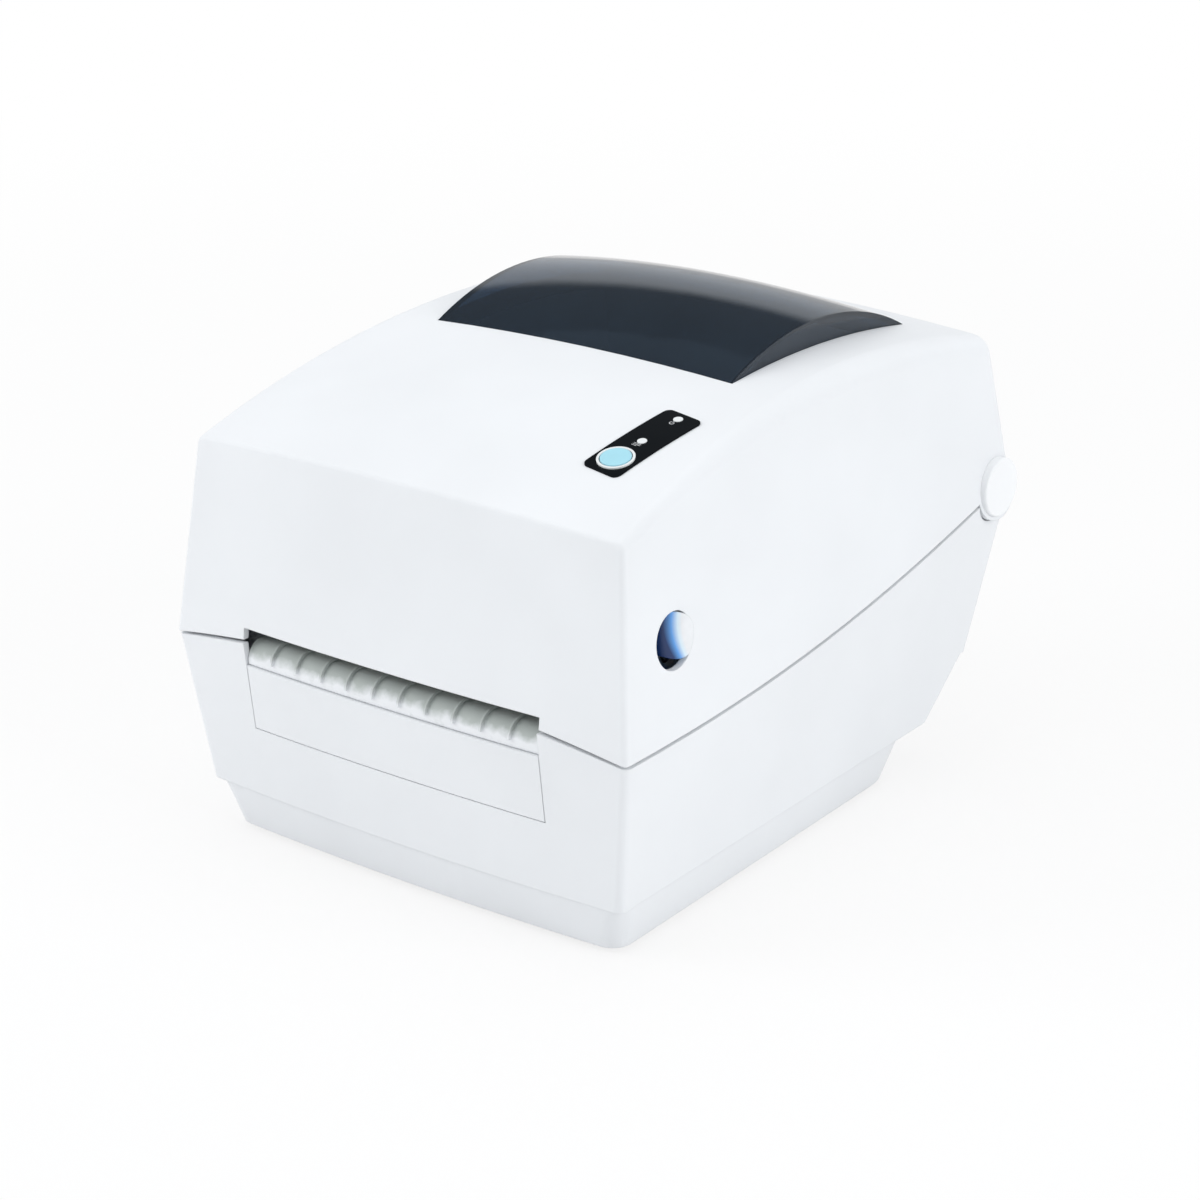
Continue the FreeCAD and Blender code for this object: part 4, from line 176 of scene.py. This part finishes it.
class Finish:
    """A Principled material with the noise and bump nodes that the finishes below share."""

    NOISE_SPREAD = (0.3, 0.7)

    def __init__(self, name, colour, roughness, **sockets):
        self.material = bpy.data.materials.new(name)
        self.material.use_nodes = True
        self.tree = self.material.node_tree
        self.shader = self.tree.nodes["Principled BSDF"]
        self.shader.inputs["Base Color"].default_value = (*colour, 1)
        self.shader.inputs["Roughness"].default_value = roughness
        for socket, value in sockets.items():
            self.shader.inputs[socket.replace("_", " ")].default_value = value
        self.place = self.tree.nodes.new("ShaderNodeTexCoord").outputs["Object"]
        self.normal = None

    def node(self, kind, links=(), **values):
        return add_node(self.tree, kind, links, **values)

    def feed(self, source, socket):
        self.tree.links.new(source, self.shader.inputs[socket])

    def noise(self, size, detail=3.0, scale=(1, 1, 1)):
        stretched = self.node("ShaderNodeMapping", {"Vector": self.place, "Scale": scale}).outputs["Vector"]
        links = {"Vector": stretched, "Scale": 1 / size, "Detail": detail}
        return self.node("ShaderNodeTexNoise", links).outputs["Fac"]

    def ramp(self, fac, *stops):
        """A colour for each value of fac, from two or more stops of (place, colour) in rising order."""
        made = self.node("ShaderNodeValToRGB", {"Fac": fac})
        elements = made.color_ramp.elements
        for index, (place, colour) in enumerate(stops):
            element = elements[index] if index < 2 else elements.new(place)
            element.position, element.color = place, (*colour, 1)
        return made.outputs["Color"]

    def drift(self, fac, low, high):
        start, end = self.NOISE_SPREAD
        return self.ramp(fac, (start, low), (end, high))

    def mix(self, blend, first, second):
        links = {"Factor": 1.0, "A": first, "B": second}
        return self.node("ShaderNodeMix", links, data_type="RGBA", blend_type=blend).outputs["Result"]

    def tone(self, fac, colour, depth):
        """The base colour, drifting darker by a depth."""
        darker = tuple(channel * (1 - depth) for channel in colour)
        self.feed(self.drift(fac, darker, colour), "Base Color")

    def tinted(self, colour, fac, depth):
        """The base colour from a colour socket, drifting darker by a depth."""
        swirl = self.drift(fac, (1 - depth,) * 3, (1, 1, 1))
        self.feed(self.mix("MULTIPLY", colour, swirl), "Base Color")

    def gloss(self, fac, low, high):
        made = self.node("ShaderNodeMapRange", {"Value": fac, "To Min": low, "To Max": high})
        self.feed(made.outputs["Result"], "Roughness")

    def share(self, value, start, end):
        """How far a value lies from start to end, 0 to 1."""
        links = {"Value": value, "From Min": start, "From Max": end}
        return self.node("ShaderNodeMapRange", links).outputs["Result"]

    def along(self, axis, start, end):
        """How far a point lies from start to end along an axis of the part's frame, 0 to 1."""
        split = self.node("ShaderNodeSeparateXYZ", {"Vector": self.place})
        return self.share(split.outputs[axis], start, end)

    def soften_edges(self, radius):
        self.normal = self.node("ShaderNodeBevel", {"Radius": radius}, samples=6).outputs["Normal"]
        self.feed(self.normal, "Normal")

    def bump(self, fac, depth):
        links = {"Height": fac, "Distance": depth, "Strength": 1.0}
        if self.normal:
            links["Normal"] = self.normal
        self.normal = self.node("ShaderNodeBump", links).outputs["Normal"]
        self.feed(self.normal, "Normal")


def moulded(name, colour, roughness=0.42, grain=0.35 * MM, depth=0.012 * MM, edge=0.5 * MM, tone=0.035):
    """Injection-moulded plastic: a fine spark-eroded grain, a slow drift of tone and softened edges."""
    finish = Finish(name, colour, roughness)
    finish.soften_edges(edge)
    finish.tone(finish.noise(55 * MM, detail=2.0), colour, tone)
    finish.gloss(finish.noise(9 * MM), low=roughness - 0.05, high=roughness + 0.06)
    finish.bump(finish.noise(grain, detail=2.0), depth)
    return finish.material


def polished(name, colour, roughness, coat=0.25, specular=0.5):
    """Gloss plastic: nearly smooth, with faint swirls in its polish."""
    sockets = {"Coat_Weight": coat, "Coat_Roughness": 0.08, "Specular_IOR_Level": specular}
    finish = Finish(name, colour, roughness, **sockets)
    finish.soften_edges(0.25 * MM)
    finish.tone(finish.noise(14 * MM, detail=2.0), colour, depth=0.06)
    finish.gloss(finish.noise(3 * MM, detail=4.0), low=roughness - 0.04, high=roughness + 0.07)
    return finish.material


def brushed(name, colour, roughness, along):
    """Metal with a brushed grain that runs along one axis."""
    finish = Finish(name, colour, roughness, Metallic=1.0)
    finish.soften_edges(0.2 * MM)
    scale = tuple(0.03 if axis == along else 1.0 for axis in "XYZ")
    lines = finish.noise(0.25 * MM, scale=scale)
    finish.tone(lines, colour, depth=0.14)
    finish.gloss(lines, low=roughness - 0.08, high=roughness + 0.12)
    finish.bump(lines, depth=0.004 * MM)
    return finish.material


def rubber(name, colour, along):
    """Ground or moulded rubber, with fine marks along one axis."""
    finish = Finish(name, colour, 0.72, Specular_IOR_Level=0.35)
    finish.soften_edges(0.4 * MM)
    scale = tuple(0.15 if axis == along else 1.0 for axis in "XYZ")
    marks = finish.noise(0.4 * MM, scale=scale)
    finish.tone(marks, colour, depth=0.35)
    finish.gloss(marks, low=0.62, high=0.84)
    finish.bump(marks, depth=0.02 * MM)
    return finish.material


def circuit_board():
    """Solder mask over copper: fine straight tracks and small bright vias."""
    finish = Finish("circuit_board", BOARD, 0.32)
    cells = finish.node("ShaderNodeTexBrick", {
        "Vector": finish.place, "Scale": 160.0, "Mortar Size": 0.06, "Color1": (*BOARD, 1),
        "Color2": (*BOARD_PALE, 1), "Mortar": (*TRACK, 1),
    })
    vias = finish.node("ShaderNodeTexVoronoi", {"Vector": finish.place, "Scale": 190.0}).outputs["Distance"]
    copper = finish.ramp(vias, (0.10, COPPER), (0.12, (0, 0, 0)))
    finish.feed(finish.mix("LIGHTEN", cells.outputs["Color"], copper), "Base Color")
    finish.bump(cells.outputs["Fac"], depth=0.03 * MM)
    return finish.material


def smoked_window():
    """Clear plastic, smoked through, with faint moulding flow in its gloss."""
    sockets = {"IOR": 1.49, "Transmission_Weight": 0.9, "Specular_IOR_Level": 0.32}
    finish = Finish("smoked_window", SMOKE, 0.03, **sockets)
    finish.tone(finish.noise(40 * MM, detail=2.0), SMOKE, depth=0.10)
    finish.gloss(finish.noise(12 * MM), low=0.015, high=0.06)
    finish.bump(finish.noise(16 * MM, detail=1.0), depth=0.03 * MM)
    return finish.material


def latch_plastic():
    """Gloss blue plastic, with a navy crescent of painted shade at the recess, fading to a painted sheen of
    shell white where the tab comes flush.
    """
    finish = Finish("latch_blue", LATCH_BLUE, 0.2)
    finish.soften_edges(0.4 * MM)
    low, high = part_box("latch_lever_right")
    middle = (0, low[1] + CRESCENT_BACK, high[2] - CRESCENT_DROP)
    links = {0: finish.place, 1: (0, 1, 1)}
    side_on = finish.node("ShaderNodeVectorMath", links, operation="MULTIPLY").outputs["Vector"]
    links = {0: side_on, 1: middle}
    reach = finish.node("ShaderNodeVectorMath", links, operation="DISTANCE").outputs["Value"]
    fade = finish.share(reach, CRESCENT_OUTER, CRESCENT_INNER)
    # Painted shade in navy outside the crescent's outer radius, and painted sheen in pale blue and white
    # inside its inner one
    stops = (0.22, LATCH_PAINTED_SHADE), (0.5, LATCH_BLUE), (0.78, LATCH_PAINTED_SHEEN), (1.0, WHITE)
    finish.tinted(finish.ramp(fade, *stops), finish.noise(6 * MM, detail=2.0), depth=0.07)
    finish.gloss(finish.noise(3 * MM, detail=4.0), low=0.16, high=0.28)
    return finish.material


def guide_plastic():
    """The paper guide: shell white where it meets the bezel, greyed towards its top by painted shadow from
    the lid above.
    """
    finish = Finish("guide_white", WHITE, 0.38)
    finish.soften_edges(0.3 * MM)
    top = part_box("paper_guide")[1][2]
    # Painted shadow: greyer towards the guide's top, with a little noise
    links = {0: finish.along("Z", top - GUIDE_SHADOW_REACH, top), 1: finish.noise(6 * MM)}
    painted_shadow = finish.node("ShaderNodeMath", links, operation="ADD").outputs[0]
    finish.feed(finish.ramp(painted_shadow, (0.55, WHITE), (1.0, GUIDE_SHADE)), "Base Color")
    finish.gloss(finish.noise(5 * MM), low=0.30, high=0.42)
    return finish.material


def print_line():
    """Glazed ceramic with the dark line of heating dots along its middle."""
    finish = Finish("print_line", CERAMIC, 0.18)
    finish.soften_edges(0.2 * MM)
    low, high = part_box("print_head")
    stops = (0.44, CERAMIC), (0.45, HEATER), (0.52, HEATER), (0.53, CERAMIC)
    line = finish.ramp(finish.along("Y", low[1], high[1]), *stops)
    finish.tinted(line, finish.noise(9 * MM, detail=2.0), depth=0.05)
    finish.gloss(finish.noise(1.5 * MM), low=0.12, high=0.28)
    return finish.material


SHELL = moulded("shell_white", WHITE)
PRINTED = moulded("printed_white", PRINT_WHITE, 0.5, tone=0.1)
CAP = moulded("cap_white", CAP_WHITE, 0.36, edge=0.7 * MM)
GUIDE = guide_plastic()
BAY = moulded("bay_grey", BAY_GREY, 0.5)
FRAME_GREY = moulded("frame_grey", RIBBON_GREY, 0.5)
DARK = moulded("dark_plastic", CHARCOAL, 0.46, tone=0.15)
GEAR = moulded("gear_white", WARM_WHITE, 0.38, edge=0.15 * MM, tone=0.06)
STRIP = polished("strip_black", STRIP_BLACK, 0.36, coat=0.0, specular=0.06)
BUTTON = polished("button_cyan", BUTTON_CYAN, 0.30)
RING = polished("ring_white", RING_WHITE, 0.22)
LATCH = latch_plastic()
WINDOW = smoked_window()
STEEL_X = brushed("steel_x", STEEL, 0.34, "X")
STEEL_Y = brushed("steel_y", STEEL, 0.36, "Y")
SHINY = brushed("turned_steel", BRIGHT_STEEL, 0.24, "X")
BRASS_TURNED = brushed("turned_brass", BRASS, 0.30, "X")
SINK = brushed("extruded_aluminium", ALUMINIUM, 0.36, "X")
PLATEN = rubber("platen_rubber", PLATEN_BLACK, "X")
FEET = rubber("foot_rubber", FOOT_BLACK, "Z")
MOTOR = moulded("motor_black", MOTOR_BLACK, 0.5, grain=0.6 * MM, depth=0.03 * MM, tone=0.2)
PCB = circuit_board()
HEAD = print_line()

NODE_FINISH = {
    "bottom_tray": SHELL, "lower_case": SHELL, "front_bezel": SHELL, "lid_shell": SHELL,
    "hinge_barrel": SHELL, "hinge_caps": CAP, "paper_guide": GUIDE, "rubber_feet": FEET,
    "lid_window": WINDOW, "control_strip": STRIP, "button_ring": RING, "feed_button": BUTTON,
    "indicator_lights": RING, "latch_lever_right": LATCH, "latch_lever_left": LATCH, "latch_hooks": STEEL_Y,
    "latch_shaft": SHINY, "catch_pins": SHINY, "hinge_pins": SHINY, "media_bay": BAY,
    "roll_holder_left": DARK, "roll_holder_right": DARK, "holder_pinion": GEAR, "chassis": STEEL_Y,
    "chassis_screws": SHINY, "case_screws": SHINY, "frame_screws": SHINY, "platen_bearings": BRASS_TURNED,
    "platen_shaft": SHINY, "platen_roller": PLATEN, "platen_gear": GEAR, "idler_gear": GEAR,
    "idler_axle": SHINY, "motor_pinion": BRASS_TURNED, "stepper_motor": MOTOR, "sensor_rail": DARK,
    "gap_sensor": DARK, "main_board": PCB, "port_board": PCB, "panel_board": PCB,
    "port_plate": DARK, "usb_socket": STEEL_Y, "power_inlet": DARK, "switch_body": DARK,
    "power_switch": STRIP, "ribbon_frame": FRAME_GREY, "heat_sink": SINK, "print_head": HEAD,
    "head_springs": STEEL_X, "tear_bar": STEEL_X, "ribbon_supply_spindle": GEAR,
    "ribbon_takeup_spindle": GEAR, "takeup_gear": GEAR, "ribbon_idler_gear": GEAR, "ribbon_gear_axle": SHINY,
}
for node_name, node_finish in NODE_FINISH.items():
    slots = nodes[node_name].data.materials
    slots.clear()
    slots.append(node_finish)


# Details that the solids leave out, and some nodes remade as pieces of their own

def add_piece(name, mesh, finish, body, slot, *replaced):
    """A new piece that rides on a body, in place of the replaced nodes if there are any."""
    mesh.materials.append(finish)
    piece = bpy.data.objects.new(name, mesh)
    bpy.context.collection.objects.link(piece)
    for face in mesh.polygons:
        face.use_smooth = True
    mesh.set_sharp_from_angle(angle=SHARP_ANGLE)
    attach(piece, body)
    if replaced:
        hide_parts(*replaced)
    return piece


def welded(node):
    """A node's mesh to work on, with the points that its faces share made one."""
    work = bmesh.new()
    work.from_mesh(nodes[node].data)
    bmesh.ops.remove_doubles(work, verts=work.verts, dist=WELD)
    return work


def as_mesh(work, name):
    mesh = bpy.data.meshes.new(name)
    work.to_mesh(mesh)
    work.free()
    return mesh


def islands(node):
    """The box of each separate solid in a node."""
    work = welded(node)
    boxes, seen = [], set()
    for start in work.verts:
        if start in seen:
            continue
        reached, queue = [], [start]
        seen.add(start)
        while queue:
            vert = queue.pop()
            reached.append(vert.co.copy())
            for edge in vert.link_edges:
                other = edge.other_vert(vert)
                if other not in seen:
                    seen.add(other)
                    queue.append(other)
        low = Vector([min(point[axis] for point in reached) for axis in range(3)])
        high = Vector([max(point[axis] for point in reached) for axis in range(3)])
        boxes.append((low, high))
    work.free()
    return boxes


def lathe(work, profile, place, flip=1, steps=40):
    """Turn a profile of (radius, height) points round a vertical axis into a closed solid."""
    turns = [2 * math.pi * step / steps for step in range(steps)]
    loops = []
    for radius, height in profile:
        around = turns if radius else turns[:1]
        points = [(radius * math.cos(turn), radius * math.sin(turn), flip * height) for turn in around]
        loops.append([work.verts.new(place + Vector(point)) for point in points])
    for lower, upper in zip(loops, loops[1:]):
        for step in range(steps):
            corners = [lower[step % len(lower)], lower[(step + 1) % len(lower)]]
            corners += [upper[(step + 1) % len(upper)], upper[step % len(upper)]]
            work.faces.new(list(dict.fromkeys(corners)))
    bmesh.ops.recalc_face_normals(work, faces=work.faces)


def cross_bit(work, place, flip):
    """The tapered cross that the driver recess is cut with."""
    heights = (SCREW_HEAD + BIT_PROUD, SCREW_HEAD - BIT_DEPTH)
    loops = []
    for height, reach, half in zip(heights, BIT_REACH, BIT_HALF_WIDTH):
        arm, outline = [(reach, -half), (reach, half), (half, half)], []
        for quarter in range(4):
            outline += arm
            arm = [(-y, x) for x, y in arm]
        loops.append([work.verts.new(place + Vector((x, y, flip * height))) for x, y in outline])
    upper, lower = loops
    work.faces.new(upper)
    work.faces.new(list(reversed(lower)))
    for step in range(len(upper)):
        after = (step + 1) % len(upper)
        work.faces.new([upper[step], lower[step], lower[after], upper[after]])
    bmesh.ops.recalc_face_normals(work, faces=work.faces)


def cut_by(mesh, tool, name):
    """The mesh less the tool, as a new mesh."""
    body = bpy.data.objects.new(name + "_blank", mesh)
    cutter = bpy.data.objects.new(name + "_bit", tool)
    for part in (body, cutter):
        bpy.context.collection.objects.link(part)
    boolean = body.modifiers.new("recess", "BOOLEAN")
    boolean.operation, boolean.solver, boolean.object = "DIFFERENCE", "EXACT", cutter
    made = bpy.data.meshes.new_from_object(body.evaluated_get(bpy.context.evaluated_depsgraph_get()))
    made.name = name
    for part in (body, cutter):
        bpy.data.objects.remove(part)
    return made


def screw_profile(length, radius):
    """Tip, thread, plain neck and pan head, as (radius, height) points from the seat of the head."""
    shank = SHANK_SHARE * radius
    points = [(0, -length), (SCREW_TIP * shank, -length)]
    height = -length + THREAD_PITCH
    while height < -2 * THREAD_PITCH:
        points += [(shank, height), (THREAD_ROOT * shank, height + THREAD_PITCH / 2)]
        height += THREAD_PITCH
    points += [(shank, -THREAD_PITCH), (shank, 0), (radius, 0)]
    return points + [(across * radius, up * SCREW_HEAD) for across, up in PAN_HEAD]


def screws(node, body, flip):
    """Cross-recess pan-head screws in place of a node's plain ones; flip is 1 where the heads are on top."""
    blank, bit = bmesh.new(), bmesh.new()
    for low, high in islands(node):
        middle = (low + high) / 2
        seat = high.z - SCREW_HEAD if flip > 0 else low.z + SCREW_HEAD
        place = Vector((middle.x, middle.y, seat))
        radius = (high.x - low.x) / 2
        lathe(blank, screw_profile(high.z - low.z - SCREW_HEAD, radius), place, flip)
        cross_bit(bit, place, flip)
    mesh = cut_by(as_mesh(blank, node), as_mesh(bit, node + "_bit"), node + "_cross")
    add_piece(node + "_cross", mesh, SHINY, body, "steel", node)


def grooved_feet():
    """Rubber feet with round grooves in their soles and a bevelled edge."""
    shares = [(0, 0)]
    for inner, outer in FOOT_GROOVES:
        shares += [(inner, 0), (inner + GROOVE_SLOPE, GROOVE_DEPTH)]
        shares += [(outer - GROOVE_SLOPE, GROOVE_DEPTH), (outer, 0)]
    shares += [(FOOT_EDGE, 0), (1, FOOT_EDGE_RISE), (1, 1), (0, 1)]
    work = bmesh.new()
    for low, high in islands("rubber_feet"):
        radius, tall = (high.x - low.x) / 2, high.z - low.z
        middle = (low + high) / 2
        profile = [(across * radius, up * tall) for across, up in shares]
        lathe(work, profile, Vector((middle.x, middle.y, low.z)))
    mesh = as_mesh(work, "rubber_feet_grooved")
    add_piece("rubber_feet_grooved", mesh, FEET, "base", "foot_rubber", "rubber_feet")


def sprung_leaves():
    """The print head's leaf springs, as a piece on the lid with a mesh of its own."""
    mesh = as_mesh(welded("head_springs"), "head_leaf_springs")
    piece = add_piece("head_leaf_springs", mesh, STEEL_X, "lid", "steel", "head_springs")
    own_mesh(piece)


def bar(u0, v0, u1, v1):
    """The face of a bar between two opposite corners."""
    return [(u0, v0), (u1, v0), (u1, v1), (u0, v1)]


def ring(radius, width, start=0.0, end=360.0, steps=28):
    """The faces of a ring, or of the part of one between two angles."""
    faces = []
    turns = [math.radians(start + (end - start) * step / steps) for step in range(steps + 1)]
    for first, second in zip(turns, turns[1:]):
        corners = [(radius, first), (radius, second), (radius - width, second), (radius - width, first)]
        faces.append([(reach * math.cos(turn), reach * math.sin(turn)) for reach, turn in corners])
    return faces


def mark(name, node, body, faces, origin, along_u, along_v):
    """A thin printed mark laid on a node's surface; its faces are in millimetres along two directions."""
    data = nodes[node].data
    points = [vert.co for vert in data.vertices]
    tree = BVHTree.FromPolygons(points, [face.vertices for face in data.polygons])
    along_u, along_v = along_u.normalized(), along_v.normalized()
    out = along_u.cross(along_v).normalized()
    work = bmesh.new()
    for face in faces:
        corners = []
        for u, v in face:
            start = origin + (along_u * u + along_v * v) * MM + out * MARK_PROBE
            spot = tree.ray_cast(start, -out)[0]
            corners.append(work.verts.new(spot - out * MARK_SUNK))
        work.faces.new(corners)
    bmesh.ops.remove_doubles(work, verts=work.verts, dist=MARK_WELD)
    made = bmesh.ops.extrude_face_region(work, geom=work.faces[:], use_keep_orig=True)
    raised = [part for part in made["geom"] if isinstance(part, bmesh.types.BMVert)]
    bmesh.ops.translate(work, verts=raised, vec=out * (MARK_SUNK + MARK_PROUD))
    bmesh.ops.recalc_face_normals(work, faces=work.faces)
    add_piece(name, as_mesh(work, name), PRINTED, body, "ring_white")


def panel_marks():
    """Two small generic signs beside the indicator dots: a sheet with lines, and a ring with a stroke."""
    dots = sorted(islands("indicator_lights"), key=lambda box: box[0].y)
    centres = [(low + high) / 2 for low, high in dots]
    length = centres[1] - centres[0]
    length.z = 0
    across = Vector((length.y, -length.x, 0))
    sheet = [bar(-1.6, 0.75, 1.6, 1.0), bar(-1.6, 0.1, 1.6, 0.35), bar(-1.6, -0.55, 0.6, -0.3)]
    stroke = ring(0.95, 0.28, 125, 415) + [bar(-0.14, 0.2, 0.14, 1.2)]
    offset = length.normalized() * SIGN_OFFSET
    for name, faces, centre in (("sign_sheet", sheet, centres[0]), ("sign_ring", stroke, centres[1])):
        mark(name, "control_strip", "lid", faces, centre - offset, across, length)


def rocker_marks():
    """The usual stroke and ring on the power switch."""
    low, high = (Vector(corner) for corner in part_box("power_switch"))
    middle = (low + high) / 2
    quarter = (high.z - low.z) / 4
    up, across = Vector((0, 0, 1)), Vector((-1, 0, 0))
    middle.y = high.y
    stroke = [bar(-0.25, -1.5, 0.25, 1.5)]
    mark("rocker_stroke", "power_switch", "rocker", stroke, middle + up * quarter, across, up)
    mark("rocker_ring", "power_switch", "rocker", ring(1.5, 0.45), middle - up * quarter, across, up)


screws("case_screws", "base", -1)
screws("chassis_screws", "base", 1)
screws("frame_screws", "lid", -1)
grooved_feet()
sprung_leaves()
panel_marks()
rocker_marks()


# Studio: a pale floor, a white background and soft light from above, the front left and the right

def pale_floor():
    """A floor that is white far off and keeps the object's shadow close by."""
    finish = Finish("studio_floor", FLOOR_PALE, 0.9)
    finish.tone(finish.noise(0.4, detail=2.0), FLOOR_PALE, depth=0.01)
    light = finish.node("ShaderNodeLightPath").outputs
    shown = light["Is Camera Ray"]
    for kind in ("Is Transmission Ray", "Is Glossy Ray"):
        shown = finish.node("ShaderNodeMath", {0: shown, 1: light[kind]}, operation="MAXIMUM").outputs[0]
    away = finish.node("ShaderNodeVectorMath", {0: finish.place}, operation="LENGTH").outputs["Value"]
    whiter = faded(finish.tree, away, FLOOR_WHITENS, FLOOR_WHITE_NEAR, 1.0)
    share = finish.node("ShaderNodeMath", {0: shown, 1: whiter}, operation="MULTIPLY").outputs[0]
    glow = finish.node("ShaderNodeEmission", {"Color": (1, 1, 1, 1), "Strength": 1.0}).outputs["Emission"]
    mix = finish.node("ShaderNodeMixShader", {"Fac": share, 1: finish.shader.outputs["BSDF"], 2: glow})
    surface = finish.tree.nodes["Material Output"].inputs["Surface"]
    finish.tree.links.new(mix.outputs["Shader"], surface)
    mesh = bpy.data.meshes.new("studio_floor")
    sides = ((-1, -1), (1, -1), (1, 1), (-1, 1))
    corners = [(x * FLOOR_HALF, y * FLOOR_HALF, -FLOOR_DROP) for x, y in sides]
    mesh.from_pydata(corners, [], [(0, 1, 2, 3)])
    mesh.materials.append(finish.material)
    floor = bpy.data.objects.new("studio_floor", mesh)
    bpy.context.collection.objects.link(floor)


def white_world():
    """Even light, white where it is seen; gloss mirrors a dim ceiling and a dark flag on the right."""
    world = bpy.data.worlds.new("studio")
    bpy.context.scene.world = world
    world.use_nodes = True
    tree = world.node_tree
    background = tree.nodes["Background"]
    background.inputs["Color"].default_value = (*SKY, 1)
    light = add_node(tree, "ShaderNodeLightPath").outputs
    links = {0: light["Is Camera Ray"], 1: light["Is Transmission Ray"]}
    seen = add_node(tree, "ShaderNodeMath", links, operation="MAXIMUM").outputs[0]
    links = {"Value": seen, "To Min": WORLD_LEVEL, "To Max": 1.0}
    level = add_node(tree, "ShaderNodeMapRange", links).outputs["Result"]
    toward = add_node(tree, "ShaderNodeTexCoord").outputs["Generated"]
    split = add_node(tree, "ShaderNodeSeparateXYZ", {"Vector": toward}).outputs
    ceiling = faded(tree, split["Z"], CEILING_FADE, MIRRORED_PALE, MIRRORED_DIM)
    flag = faded(tree, split["X"], FLAG_FADE, 1.0, MIRRORED_DIM)
    mirrored = add_node(tree, "ShaderNodeMath", {0: ceiling, 1: flag}, operation="MULTIPLY").outputs[0]
    links = {"Factor": light["Is Glossy Ray"], "A": level, "B": mirrored}
    strength = add_node(tree, "ShaderNodeMix", links).outputs["Result"]
    tree.links.new(strength, background.inputs["Strength"])


def soft_light(name, place, size, power):
    """A soft lamp that gloss doesn't mirror, so that it leaves no bright patch on the window."""
    data = bpy.data.lights.new(name, "AREA")
    data.shape = "RECTANGLE"
    data.size, data.size_y = size
    data.energy = power
    lamp = bpy.data.objects.new(name, data)
    lamp.location = place
    lamp.visible_glossy = False
    lamp.rotation_euler = (LAMP_AIM - Vector(place)).to_track_quat("-Z", "Y").to_euler()
    bpy.context.collection.objects.link(lamp)


def photo_camera():
    data = bpy.data.cameras.new("photo_camera")
    data.lens = CAMERA_LENS
    data.sensor_width = CAMERA_SENSOR
    data.clip_start = CAMERA_NEAREST
    camera = bpy.data.objects.new("photo_camera", data)
    sin_a, cos_a = math.sin(CAMERA_AZIMUTH), math.cos(CAMERA_AZIMUTH)
    sin_e, cos_e = math.sin(CAMERA_ELEVATION), math.cos(CAMERA_ELEVATION)
    right = Vector((cos_a, sin_a, 0))
    back = Vector((sin_a * cos_e, -cos_a * cos_e, sin_e))
    up = back.cross(right)
    turn = Matrix((right, up, back)).transposed().to_4x4()
    camera.matrix_world = Matrix.Translation(CAMERA_PLACE) @ turn
    bpy.context.collection.objects.link(camera)
    bpy.context.scene.camera = camera


pale_floor()
white_world()
for lamp_name, lamp_facts in LAMPS.items():
    soft_light(lamp_name, **lamp_facts)
photo_camera()
bpy.context.scene.view_settings.view_transform = "Standard"
